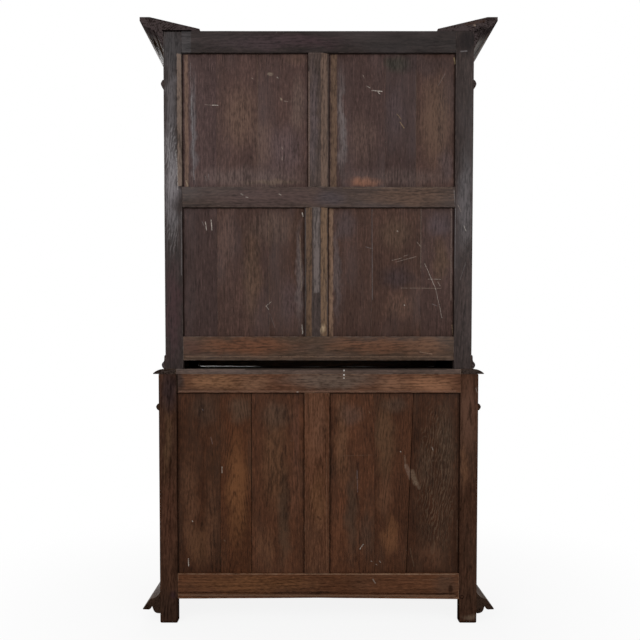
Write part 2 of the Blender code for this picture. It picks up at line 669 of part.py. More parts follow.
def nosed_top():
    """The top of the lower body, with a thumb moulding worked on its front and sides."""
    low_z = LOWER_HEIGHT - TOP_THICKNESS
    tip = low_z + TOP_NOSE_TIP
    nose = curve_between((0.0, tip), (TOP_NOSE_WIDTH * 0.42, tip + (LOWER_HEIGHT - tip) * 0.85),
                         (TOP_NOSE_WIDTH, LOWER_HEIGHT), 6)
    builder = bmesh.new()
    side = LOWER_HALF + TOP_OVERHANG
    front = LOWER_FRONT_Y - TOP_OVERHANG
    corners = ((-side, BACK_Y), (-side, front), (side, front), (side, BACK_Y))
    cap = builder.faces.new([builder.verts.new((x, y, low_z)) for x, y in corners])
    last = 0.0
    for inset, height in nose:
        cap = push_out(builder, cap)
        for vertex in cap.verts:
            vertex.co.x -= math.copysign(inset - last, vertex.co.x)
            vertex.co.y += inset - last if vertex.co.y < 0 else 0.0
            vertex.co.z = height
        last = inset
    add_object("lower_top_board", builder, (0, 0, LOWER_HEIGHT), PARTS, OAK_BACK_WARM)


def build_boards():
    """Tops, floors and shelves."""
    reach = UPPER_HALF - SIDE_REVEAL - SIDE_RAIL_THICKNESS - FIT
    floor = board("upper_floor_board", (-reach, UPPER_FRONT_Y, UPPER_FLOOR_Z),
                  (reach, BACK_FRAME_Y - FIT, UPPER_FLOOR_TOP), OAK_INSIDE)
    frieze_back = UPPER_FRONT_Y + DRAWER_FRAME_SETBACK + UPPER_DOOR_THICKNESS
    ceiling = board("upper_top_board", (-reach, frieze_back + FIT, UPPER_CEILING_Z),
                    (reach, BACK_FRAME_Y - FIT, UPPER_CEILING_Z + UPPER_TOP_BOARD_THICKNESS), OAK_INSIDE)
    lower_reach = LOWER_HALF - SIDE_REVEAL - SIDE_RAIL_THICKNESS - FIT
    lower_floor = board("lower_floor_board", (-lower_reach, LOWER_FRONT_Y, LOWER_FLOOR_Z),
                        (lower_reach, BACK_FRAME_Y - FIT, LOWER_FLOOR_TOP), OAK_INSIDE)
    bpy.context.view_layer.update()
    notch_for_posts(floor, UPPER_HALF, UPPER_FRONT_Y)
    notch_for_posts(ceiling, UPPER_HALF, UPPER_FRONT_Y)
    notch_for_posts(lower_floor, LOWER_HALF, LOWER_FRONT_Y)
    nosed_top()
    for index, shelf_z in enumerate(upper_shelf_heights()):
        shelf_half = UPPER_POST_X - SHELF_END_GAP
        board(f"upper_shelf_{index + 1}",
              (-shelf_half, UPPER_FRONT_Y + UPPER_DOOR_THICKNESS + SHELF_SETBACK, shelf_z),
              (shelf_half, BACK_FRAME_Y - FIT, shelf_z + SHELF_THICKNESS), OAK_INSIDE)
    shelf_half = LOWER_POST_X - SHELF_END_GAP
    board("lower_shelf",
          (-shelf_half, LOWER_FRONT_Y + LOWER_DOOR_THICKNESS + SHELF_SETBACK, LOWER_SHELF_HEIGHT),
          (shelf_half, BACK_FRAME_Y - FIT, LOWER_SHELF_HEIGHT + SHELF_THICKNESS), OAK_INSIDE)


def build_front_frames(frames):
    """The frieze rail of the upper body and the drawer frame of the lower one."""
    end = UPPER_POST_X - FIT
    front = UPPER_FRONT_Y + DRAWER_FRAME_SETBACK
    rail = tenoned("upper_frieze_rail", (-end, front, UPPER_FRIEZE_Z),
                   (end, front + UPPER_DOOR_THICKNESS, UPPER_TOP_Z), 0, OAK_SHOW,
                   [frames["upper", -1]], [frames["upper", 1]])
    level = (UPPER_FRIEZE_Z + UPPER_ASTRAGAL_HEIGHT + UPPER_TOP_Z - CORNICE_LAP) / 2
    for index in range(FRIEZE_TABLETS):
        centre = (index - (FRIEZE_TABLETS - 1) / 2) * 2 * UPPER_POST_X / FRIEZE_TABLETS
        low = (centre - FRIEZE_TABLET_WIDTH / 2, front - FRIEZE_TABLET_STEP, level - FRIEZE_TABLET_HEIGHT / 2)
        high = (centre + FRIEZE_TABLET_WIDTH / 2, front + FRIEZE_TABLET_RISE, level + FRIEZE_TABLET_HEIGHT / 2)
        builder = box_builder(low, high)
        field_panel(builder, FRONTWARD, FRIEZE_TABLET_RISE, FRIEZE_TABLET_BEVEL, FRIEZE_TABLET_RISE)
        tablet = add_object(f"upper_frieze_tablet_{index}", builder, middle(low, high), CUTTERS)
        combine(rail, tablet, "UNION")
    end = LOWER_POST_X - FIT
    front = LOWER_FRONT_Y + DRAWER_FRAME_SETBACK
    back = front + DRAWER_FRAME_RAIL_DEPTH
    frame = tenoned("lower_drawer_frame", (-end, front, LOWER_FRIEZE_Z), (end, back, DRAWER_RAIL_TOP), 0,
                    OAK_SHOW, [frames["lower", -1]], [frames["lower", 1]])
    lap = DRAWER_FRAME_RAIL_DEPTH / 2
    top = DRAWER_RAIL_TOP - RUNNER_GAP
    runner_back = BACK_FRAME_Y - FIT
    for name, x_low, x_high in (("left", -end, -end + DRAWER_RUNNER_WIDTH),
                                ("middle", -DRAWER_RUNNER_WIDTH, DRAWER_RUNNER_WIDTH),
                                ("right", end - DRAWER_RUNNER_WIDTH, end)):
        glue(frame, f"lower_drawer_frame_{name}_runner",
             (x_low, back - lap, top - DRAWER_RUNNER_HEIGHT), (x_high, runner_back, top))
    half = DRAWER_DIVIDER_WIDTH / 2
    glue(frame, "lower_drawer_frame_divider", (-half, front + RUNNER_GAP, DRAWER_RAIL_TOP - lap),
         (half, back - RUNNER_GAP, LOWER_POST_TOP))


def build_mouldings():
    """Cornice, plinth, astragals and base moulding."""
    top = UPPER_TOP_Z
    out = CORNICE_PROJECTION
    crest = top + CORNICE_RISE
    fascia = crest - CORNICE_FASCIA
    fillet = 0.006
    neck = 0.012
    foot = top - CORNICE_LAP
    shoulder = (out - CORNICE_FLAT, top + CORNICE_RISE * 0.22)
    ovolo = curve_between((out - fillet, fascia), (out - fillet * 1.4, shoulder[1] + fillet * 0.6), shoulder, 5)
    hollow_top = (shoulder[0] - fillet, shoulder[1] - fillet)
    hollow_foot = (neck, foot + CORNICE_LAP * 0.26)
    hollow = curve_between(hollow_top, (neck + fillet, hollow_top[1] - fillet), hollow_foot, 5)
    cornice = [(FIT, foot), (FIT, top + FIT), (-CORNICE_INSET, top + FIT),
               (-CORNICE_INSET, top + CORNICE_INNER_EDGE), (out - CORNICE_FLAT, crest), (out, crest),
               (out, fascia)]
    cornice += ovolo + hollow + [(fillet, hollow_foot[1]), (fillet, foot)]
    moulding_round("cornice", cornice, UPPER_HALF, UPPER_FRONT_Y, OAK_SHOW)

    out = PLINTH_PROJECTION
    low = PLINTH_BOTTOM
    rise = PLINTH_TOP - PLINTH_BOTTOM
    cove = curve_between((FIT, PLINTH_TOP), (out * 0.18, low + rise * 0.72), (out * 0.56, low + rise * 0.69), 5)
    toe = curve_between((out * 0.66, low + rise * 0.18), (out * 0.52, low + rise * 0.20),
                        (out * 0.47, low + rise * 0.36), 3)
    scroll = curve_between((out * 0.42, low + rise * 0.22), (out * 0.36, low), (out * 0.06, low), 4)
    plinth = cove + [(out, low + rise * 0.24), (out, low + rise * 0.19)] + toe + scroll + [(FIT, low)]
    moulding_round("plinth", plinth, LOWER_HALF, LOWER_FRONT_Y, OAK_SHOW)

    for name, foot, height, half, front_y in (
            ("upper_frieze_moulding", UPPER_FRIEZE_Z, UPPER_ASTRAGAL_HEIGHT, UPPER_HALF, UPPER_FRONT_Y),
            ("lower_frieze_moulding", LOWER_FRIEZE_Z, LOWER_ASTRAGAL_HEIGHT, LOWER_HALF, LOWER_FRONT_Y)):
        out = ASTRAGAL_PROJECTION
        nose = foot + height / 2
        lower_curve = curve_between((FIT, foot), (out * 0.7, foot + height * 0.08), (out, nose), 4)
        upper_curve = [(distance, 2 * nose - level) for distance, level in reversed(lower_curve[:-1])]
        moulding_round(name, lower_curve + upper_curve, half, front_y, OAK_SHOW)

    out = BASE_MOULDING_PROJECTION
    foot = LOWER_HEIGHT + BASE_SLIT
    top = UPPER_FLOOR_TOP - FIT
    rise = top - foot
    torus = curve_between((out * 0.45, foot), (out * 1.42, foot + rise * 0.24), (out * 0.75, foot + rise * 0.46), 6)
    ogee = curve_between((out * 0.64, foot + rise * 0.49), (out * 0.34, foot + rise * 0.55),
                         (out * 0.32, foot + rise * 0.72), 4)
    base = [(FIT, foot)] + torus + ogee + [(out * 0.32, foot + rise * 0.90), (out * 0.16, top), (FIT, top)]
    moulding_round("upper_base_moulding", base, UPPER_HALF, UPPER_FRONT_Y, OAK_SHOW)


def build_upper_doors():
    """Glazed doors of the upper body with hinges and key."""
    low_z = UPPER_FLOOR_TOP + DOOR_GAP
    high_z = UPPER_FRIEZE_Z - DOOR_GAP
    near = DOOR_GAP / 2
    far = UPPER_POST_X - DOOR_GAP
    back_y = UPPER_FRONT_Y + UPPER_DOOR_THICKNESS
    axis_x = UPPER_POST_X - DOOR_GAP / 2
    glass_y = (UPPER_FRONT_Y + back_y - GLASS_THICKNESS) / 2
    for side, hand in ((-1, "left"), (1, "right")):
        x_low, x_high = span(side, near, far)
        door = board(f"upper_{hand}_door_frame", (x_low, UPPER_FRONT_Y, low_z), (x_high, back_y, high_z), OAK_SHOW)
        open_low = (x_low + UPPER_DOOR_STILE, UPPER_FRONT_Y - FIT, low_z + UPPER_DOOR_BOTTOM_RAIL)
        open_high = (x_high - UPPER_DOOR_STILE, back_y + FIT, high_z - UPPER_DOOR_TOP_RAIL)
        combine(door, flared_opening(f"upper_{hand}_door_light", open_low, open_high), "DIFFERENCE")
        pane_low = (open_low[0] - GLASS_LAP, glass_y, open_low[2] - GLASS_LAP)
        pane_high = (open_high[0] + GLASS_LAP, glass_y + GLASS_THICKNESS, open_high[2] + GLASS_LAP)
        house([door], f"upper_{hand}_door_groove", pane_low, pane_high)
        pane = board(f"upper_{hand}_door_glass", pane_low, pane_high, GLASS)
        moving = [door, pane]
        for level, z in (("top", high_z - HINGE_INSET), ("bottom", low_z + HINGE_INSET)):
            place = hinge(f"upper_{hand}_hinge_{level}", side, axis_x, UPPER_FRONT_Y, z)
        if side > 0:
            moving.append(key("upper_door_key", door, near + UPPER_DOOR_STILE / 2, UPPER_FRONT_Y,
                              UPPER_FLOOR_TOP + UPPER_KEY_HEIGHT))
        hang(moving, f"upper_{hand}_door_pivot", place)


def build_lower_doors():
    """Panelled doors of the lower body with hinges and key."""
    low_z = LOWER_FLOOR_TOP + DOOR_GAP
    high_z = LOWER_FRIEZE_Z - DOOR_GAP
    near = DOOR_GAP / 2
    far = LOWER_POST_X - DOOR_GAP
    back_y = LOWER_FRONT_Y + LOWER_DOOR_THICKNESS
    axis_x = LOWER_POST_X - DOOR_GAP / 2
    panel_back = back_y - DOOR_PANEL_BACKING
    for side, hand in ((-1, "left"), (1, "right")):
        x_low, x_high = span(side, near, far)
        door = board(f"lower_{hand}_door_frame", (x_low, LOWER_FRONT_Y, low_z), (x_high, back_y, high_z), OAK_SHOW)
        open_low = (x_low + LOWER_DOOR_STILE, LOWER_FRONT_Y - FIT, low_z + LOWER_DOOR_BOTTOM_RAIL)
        open_high = (x_high - LOWER_DOOR_STILE, back_y + FIT, high_z - LOWER_DOOR_TOP_RAIL)
        combine(door, flared_opening(f"lower_{hand}_door_opening", open_low, open_high), "DIFFERENCE")
        panel_low = (open_low[0] - GROOVE_DEPTH, panel_back - DOOR_PANEL_THICKNESS, open_low[2] - GROOVE_DEPTH)
        panel_high = (open_high[0] + GROOVE_DEPTH, panel_back, open_high[2] + GROOVE_DEPTH)
        house([door], f"lower_{hand}_door_groove", panel_low, panel_high)
        builder = box_builder(panel_low, panel_high)
        field = field_panel(builder, FRONTWARD, GROOVE_DEPTH + FIELD_MARGIN, FIELD_BEVEL, FIELD_RISE)
        bmesh.ops.inset_region(builder, faces=[field], thickness=FIELD_MARGIN, use_even_offset=True)
        peak = bmesh.ops.poke(builder, faces=[field])["verts"]
        bmesh.ops.translate(builder, vec=(0, -FIELD_PEAK, 0), verts=peak)
        panel = add_object(f"lower_{hand}_door_panel", builder, middle(panel_low, panel_high), PARTS, OAK_SHOW)
        moving = [door, panel]
        for level, z in (("top", high_z - HINGE_INSET), ("bottom", low_z + HINGE_INSET)):
            place = hinge(f"lower_{hand}_hinge_{level}", side, axis_x, LOWER_FRONT_Y, z)
        if side > 0:
            moving.append(key("lower_door_key", door, near + LOWER_DOOR_STILE / 2, LOWER_FRONT_Y,
                              LOWER_FLOOR_TOP + LOWER_KEY_HEIGHT))
        hang(moving, f"lower_{hand}_door_pivot", place)


def build_drawers():
    """Two frieze drawers with turned knobs."""
    low_z = DRAWER_RAIL_TOP + DOOR_GAP
    high_z = LOWER_POST_TOP - DOOR_GAP
    near = DRAWER_DIVIDER_WIDTH / 2 + DOOR_GAP
    far = LOWER_POST_X - DOOR_GAP
    front_back = LOWER_FRONT_Y + DRAWER_FRONT_THICKNESS
    for side, hand in ((-1, "left"), (1, "right")):
        x_low, x_high = span(side, near, far)
        front_low = (x_low, LOWER_FRONT_Y + DRAWER_FIELD_RISE, low_z)
        builder = box_builder(front_low, (x_high, front_back, high_z))
        field_panel(builder, FRONTWARD, DRAWER_FIELD_MARGIN, DRAWER_FIELD_RISE, DRAWER_FIELD_RISE)
        drawer = add_object(f"{hand}_drawer", builder, middle(front_low, (x_high, front_back, high_z)),
                            PARTS, OAK_SHOW)
        box_low = Vector((x_low + DRAWER_SIDE_GAP, front_back - DRAWER_WALL, DRAWER_RAIL_TOP + FIT))
        box_high = Vector((x_high - DRAWER_SIDE_GAP, LOWER_FRONT_Y + DRAWER_LENGTH, high_z - DRAWER_HEADROOM))
        glue(drawer, f"{hand}_drawer_box", box_low, box_high)
        hollow_low = Vector((box_low.x + DRAWER_WALL, front_back, box_low.z + DRAWER_BOTTOM))
        hollow_high = Vector((box_high.x - DRAWER_WALL, box_high.y - DRAWER_WALL, high_z + DRAWER_HEADROOM))
        combine(drawer, helper_box(f"{hand}_drawer_hollow", hollow_low, hollow_high), "DIFFERENCE")
        length = KNOB_LENGTH
        profile = [(0.0, length), (KNOB_RADIUS * 0.55, length * 0.97), (KNOB_RADIUS * 0.92, length * 0.84),
                   (KNOB_RADIUS, length * 0.66), (KNOB_RADIUS * 0.86, length * 0.50),
                   (KNOB_RADIUS * 0.45, length * 0.36), (KNOB_RADIUS * 0.42, length * 0.18),
                   (KNOB_RADIUS * 0.75, length * 0.08), (KNOB_RADIUS * 0.75, 0.0), (0.0, 0.0)]
        place = ((x_low + x_high) / 2, LOWER_FRONT_Y - FIT, (low_z + high_z) / 2)
        knob = turned(f"{hand}_drawer_knob", profile, place, PARTS, OAK_SHOW, 18)
        knob.rotation_euler = (math.pi / 2, 0, 0)
        hang([drawer, knob], f"{hand}_drawer_slide", place)


def build_bookcase():
    """Put the whole bookcase together."""
    frames = build_sides()
    build_upper_back(frames)
    build_lower_back(frames)
    build_boards()
    build_front_frames(frames)
    build_mouldings()
    build_upper_doors()
    build_lower_doors()
    build_drawers()


build_bookcase()
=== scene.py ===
"""Dressed scene of a two-part oak bookcase, seen from its panelled back.

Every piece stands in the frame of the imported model, in metres, with the front towards -Y and the
back, which the photograph shows, towards +Y. Left and right are those of somebody facing the front.
"""
import json
import logging
import math
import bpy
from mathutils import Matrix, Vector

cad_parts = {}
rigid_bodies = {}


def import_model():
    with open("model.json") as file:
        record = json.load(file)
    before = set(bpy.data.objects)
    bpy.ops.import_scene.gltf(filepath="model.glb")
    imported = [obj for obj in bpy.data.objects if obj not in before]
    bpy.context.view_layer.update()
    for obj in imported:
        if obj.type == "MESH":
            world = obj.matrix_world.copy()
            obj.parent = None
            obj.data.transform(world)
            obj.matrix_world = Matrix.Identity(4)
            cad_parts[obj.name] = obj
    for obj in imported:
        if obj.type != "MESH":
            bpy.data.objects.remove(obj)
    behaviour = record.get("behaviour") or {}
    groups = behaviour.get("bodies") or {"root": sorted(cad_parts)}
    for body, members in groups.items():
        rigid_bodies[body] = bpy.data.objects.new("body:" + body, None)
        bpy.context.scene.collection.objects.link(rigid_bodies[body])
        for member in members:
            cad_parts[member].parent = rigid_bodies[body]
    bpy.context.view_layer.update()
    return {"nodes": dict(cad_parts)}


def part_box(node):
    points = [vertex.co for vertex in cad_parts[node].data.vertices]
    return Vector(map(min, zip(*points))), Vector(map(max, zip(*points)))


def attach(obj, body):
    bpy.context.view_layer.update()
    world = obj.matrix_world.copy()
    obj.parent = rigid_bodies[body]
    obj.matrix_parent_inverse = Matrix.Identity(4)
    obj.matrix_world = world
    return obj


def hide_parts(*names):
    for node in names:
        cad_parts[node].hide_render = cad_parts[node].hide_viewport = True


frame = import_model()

import zlib
from collections.abc import Callable, Sequence
from dataclasses import dataclass, replace
from enum import Enum

import bpy
from mathutils import Vector

TOUCH = 1e-5  # points nearer than this lie on one plane
SLACK = 0.0003  # gap left at each end of a muntin and of the lower top
BEYOND = 0.1  # how far the box of dirt and painted recess shade goes on below its panel
LOG = logging.getLogger("bookcase")

Point = tuple[float, float, float]
Pixel = tuple[float, float]
Colour = tuple[float, float, float]
Socket = bpy.types.NodeSocket
Piece = bpy.types.Object


class Grain(Enum):
    """The axis that the fibres of a board follow, as the order (across, deep, along)."""

    ACROSS = ("Z", "Y", "X")
    DEEP = ("X", "Z", "Y")
    UPRIGHT = ("X", "Y", "Z")


class Side(Enum):
    """The two hands of the bookcase, seen from the front."""

    LEFT = -1
    RIGHT = 1

    @property
    def word(self) -> str:
        """The hand as it stands in node names."""
        return self.name.lower()

    def span(self, near: float, far: float) -> tuple[float, float]:
        """The X values of something between two distances from the middle."""
        return (near, far) if self is Side.RIGHT else (-far, -near)


class Edge(Enum):
    """The upright edge of a back face that a chamfer is planed on."""

    LOW_X = 1
    HIGH_X = -1


class Axis(Enum):
    """The axis that a turned piece stands on."""

    FRONTWARD = "Y"
    UPRIGHT = "Z"


class Shape(Enum):
    """The outline of a patch of colour."""

    ROUND = "patch_round"
    BAND = "patch_band"
    RIPPLE = "patch_ripple"


# ---------------------------------------------------------------------------------------- finishes

@dataclass(frozen=True)
class OakFinish:
    """A stain and polish on oak.

    Deep and pale are the darkest and the lightest wood as shares of the body. The bloom is a hazy film that veils
    a share of the face, worn is the colour of rubbed arrises and ends that of the end grain. Rings, streaks,
    flecks and clouds are contrasts, the relief is the height of the open grain, and the fade is the Y range over
    which a streaked polish gives way to bare wood towards the back.
    """

    name: str
    body: Colour
    deep: float = 0.45
    pale: float = 1.65
    bloom: Colour = (0.09, 0.085, 0.088)
    bloom_share: float = 0.25
    worn: Colour = (0.15, 0.1, 0.07)
    worn_width: float = 0.003
    ends: Colour = (0.03, 0.022, 0.02)
    rough: float = 0.52
    specular: float = 0.3
    rings: float = 0.3
    streaks: float = 0.55
    flecks: float = 0.2
    clouds: float = 0.55
    relief: float = 0.0006
    fade: tuple[float, float] | None = None


UPPER_FRAME = OakFinish("upper_frame_oak", (0.04, 0.029, 0.027), bloom=(0.066, 0.056, 0.057), bloom_share=0.3,
    rough=0.48, specular=0.08, rings=0.45, streaks=0.75, worn=(0.12, 0.092, 0.078))
UPPER_PANEL = OakFinish("upper_panel_oak", (0.055, 0.032, 0.028), bloom=(0.07, 0.052, 0.052), bloom_share=0.3,
    rough=0.58, specular=0.07, rings=0.25, flecks=0.35, streaks=0.65)
LOWER_FRAME = OakFinish("lower_frame_oak", (0.0605, 0.0272, 0.0158), bloom=(0.066, 0.043, 0.03), bloom_share=0.22,
    specular=0.0, deep=0.38, rings=0.45, streaks=0.7, worn=(0.19, 0.11, 0.07))
LOWER_PANEL = OakFinish("lower_panel_oak", (0.046, 0.0185, 0.0095), bloom=(0.05, 0.032, 0.021), bloom_share=0.3,
    specular=0.05, deep=0.36, rings=0.4, flecks=0.3, clouds=0.8, worn=(0.08, 0.046, 0.028))
POLISHED = OakFinish("polished_oak", (0.05, 0.024, 0.012), bloom=(0.06, 0.038, 0.025), bloom_share=0.1, rough=0.42,
    specular=0.12, rings=0.55, streaks=0.8, relief=0.0004, worn=(0.12, 0.064, 0.032))
UPPER_MOULDING = replace(POLISHED, name="upper_moulding_oak", ends=(0.024, 0.019, 0.0195), rough=0.42,
    specular=0.24, fade=(0.15, 0.25))
LOWER_MOULDING = replace(POLISHED, name="lower_moulding_oak", ends=(0.0142, 0.0084, 0.006), specular=0.08)
TOP_STRIP = replace(LOWER_MOULDING, name="top_strip_oak", ends=(0.0155, 0.0122, 0.0112))
INSIDE = OakFinish("inside_oak", (0.15, 0.086, 0.046), bloom_share=0.05, rough=0.62, specular=0.12, rings=0.55,
    pale=1.45, deep=0.55, worn=(0.2, 0.13, 0.08))


@dataclass(frozen=True)
class MetalFinish:
    """A worn metal: bright where hands rub it, dull where it is tarnished."""

    name: str
    bright: Colour
    dull: Colour
    rough: float = 0.32


# Near black, for dirt and painted shade in recesses and at the feet, and for dark spots.
NEAR_BLACK = (0.009, 0.0036, 0.002)
AGED_BRASS = MetalFinish("aged_brass", (0.5, 0.34, 0.14), (0.26, 0.17, 0.075))
KEY_STEEL = MetalFinish("key_steel", (0.42, 0.4, 0.38), (0.11, 0.085, 0.07), 0.38)


@dataclass(frozen=True)
class Patch:
    """A patch of another tone on a board, placed on the photograph; some patches are painted sheen or painted shade.

    X and Y are the pixel of its middle, wide and high half its size in pixels. The share is how much of the
    board's own tone it covers, and the softness of a band's sides is in metres.
    """

    x: float
    y: float
    wide: float
    high: float
    colour: Colour
    share: float = 0.5
    shape: Shape = Shape.ROUND
    soft: float = 0.004


@dataclass(frozen=True)
class Mark:
    """A scratch, chip, smear, crack or painted shadow line between two pixels of the photograph.

    The width is in metres, and so is the wobble, how far it strays from a straight line. It is broken from 0, for
    a firm line, to 1, for a scratch.
    """

    x: float
    y: float
    to_x: float
    to_y: float
    width: float = 0.002
    colour: Colour = (0.26, 0.215, 0.18)
    share: float = 0.6
    wobble: float = 0.003
    broken: float = 1.0


@dataclass(frozen=True)
class Look:
    """How one board differs from the others of its finish.

    Tone, rings and wear are shares of the finish's own. The warmth is orange above 0 and blue grey below. The pith
    is where the heart of the log lies from the board's middle, across and deep, and the taper how fast its rings
    run out. The recess box is the box whose borders are darkened with dirt and painted shade of the recess, and
    the flank the side of the case whose outer face is polished.
    """

    tone: float = 1.0
    warmth: float = 0.0
    pith: tuple[float, float] = (0.05, 0.06)
    taper: float = 0.03
    rings: float = 1.0
    wear: float = 1.0
    grime: tuple[Point, Point] | None = None
    flank: Side | None = None
    patches: tuple[Patch, ...] = ()
    marks: tuple[Mark, ...] = ()


@dataclass(frozen=True)
class Sight:
    """The camera of the photograph.

    The pitch is how far it looks down, in radians. The focal length, the middle, which the optical axis meets, and
    the width are in pixels, the sensor is in millimetres.
    """

    place: Point = (0.038, 2.885, 1.11)
    pitch: float = math.radians(1.9)
    focal: float = 650.0
    middle: Pixel = (309.0, 370.6)
    width: int = 640
    sensor: float = 36.0

    def on_back(self, pixel: Pixel, depth: float = 0.285) -> Point:
        """Find the point of an upright plane that a pixel shows.

        Args:
            pixel: The pixel of the photograph.
            depth: The Y value of the plane.

        Returns:
            The point in the frame of the model.
        """
        aside = (pixel[0] - self.middle[0]) / self.focal
        above = (self.middle[1] - pixel[1]) / self.focal
        forward = -math.cos(self.pitch) - above * math.sin(self.pitch)
        rise = -math.sin(self.pitch) + above * math.cos(self.pitch)
        reach = (depth - self.place[1]) / forward
        return (self.place[0] - aside * reach, depth, self.place[2] + rise * reach)


SIGHT = Sight()


class Tree:
    """A node tree with short calls for the nodes that the finishes need."""

    def __init__(self, tree: bpy.types.NodeTree) -> None:
        """Take up a tree."""
        self.tree = tree

    def feed(self, socket: Socket, value: object) -> None:
        """Link a socket to another one, or give it a plain value.

        Args:
            socket: The input.
            value: A socket, a number, a colour or a vector.
        """
        if isinstance(value, bpy.types.NodeSocket):
            self.tree.links.new(value, socket)
        elif socket.type == "RGBA" and len(value) == 3:
            socket.default_value = (*value, 1.0)
        else:
            socket.default_value = value

    def node(self, kind: str, **values: object) -> bpy.types.Node:
        """Add a node and feed its inputs by name.

        Args:
            kind: Type of node, without its ShaderNode prefix.
            values: Inputs by name, with _ for a space.

        Returns:
            The node.
        """
        made = self.tree.nodes.new("ShaderNode" + kind)
        for name, value in values.items():
            self.feed(made.inputs[name.replace("_", " ")], value)
        return made

    def _reckon(self, kind: str, operation: str, values: tuple[object, ...]) -> bpy.types.Node:
        """Add a node of one kind of arithmetic and feed its inputs in order.

        Args:
            kind: Type of node, without its ShaderNode prefix.
            operation: What it does.
            values: Its inputs in order.

        Returns:
            The node.
        """
        made = self.node(kind)
        made.operation = operation
        for socket, value in zip(made.inputs, values):
            self.feed(socket, value)
        return made

    def math(self, operation: str, *values: object) -> Socket:
        """Add a Math node and return its result."""
        return self._reckon("Math", operation, values).outputs[0]

    def plus(self, *values: object) -> Socket:
        """Add two values."""
        return self.math("ADD", *values)

    def less(self, *values: object) -> Socket:
        """Take the second value from the first."""
        return self.math("SUBTRACT", *values)

    def times(self, *values: object) -> Socket:
        """Multiply two values."""
        return self.math("MULTIPLY", *values)

    def rest(self, value: object) -> Socket:
        """Take a value from 1."""
        return self.less(1.0, value)

    def vector(self, operation: str, *values: object) -> Socket:
        """Add a Vector Math node and return its result."""
        made = self._reckon("VectorMath", operation, values)
        return made.outputs["Value" if operation in ("LENGTH", "DOT_PRODUCT") else "Vector"]

    def mix(self, share: object, first: object, second: object) -> Socket:
        """Add a colour Mix node and return its result.

        Args:
            share: Share of the second colour.
            first: The first colour.
            second: The second colour.

        Returns:
            The mixed colour.
        """
        made = self.node("Mix")
        made.data_type = "RGBA"
        for index, value in ((0, share), (6, first), (7, second)):
            self.feed(made.inputs[index], value)
        return made.outputs[2]

    def noise(self, place: Socket, scale: Point, detail: float = 2.0) -> Socket:
        """Add a Noise texture stretched along the axes and return its height."""
        stretched = self.vector("MULTIPLY", place, scale)
        return self.node("TexNoise", Vector=stretched, Scale=1.0, Detail=detail).outputs[0]

    def step(self, value: Socket, low: object, high: object) -> Socket:
        """Rise smoothly from 0 to 1 between two values.

        Args:
            value: The value.
            low: Where the rise starts.
            high: Where it ends.

        Returns:
            The share.
        """
        made = self.node("MapRange", Value=value)
        made.interpolation_type = "SMOOTHSTEP"
        self.feed(made.inputs["From Min"], low)
        self.feed(made.inputs["From Max"], high)
        return made.outputs[0]

    def centred(self, value: Socket, gain: object) -> Socket:
        """Take 0.5 from a value and multiply the rest."""
        return self.times(self.less(value, 0.5), gain)

    def parts(self, vector: Socket) -> list[Socket]:
        """Split a vector into its X, Y and Z."""
        return list(self.node("SeparateXYZ", Vector=vector).outputs)

    def joined(self, x: object, y: object, z: object) -> Socket:
        """Make a vector of three values."""
        return self.node("CombineXYZ", X=x, Y=y, Z=z).outputs[0]

    def call(self, group: bpy.types.NodeTree, **values: object) -> bpy.types.Node:
        """Add a group node and feed its inputs by name.

        Args:
            group: The group.
            values: Inputs by name.

        Returns:
            The group node.
        """
        made = self.node("Group")
        made.node_tree = group
        for name, value in values.items():
            self.feed(made.inputs[name], value)
        return made


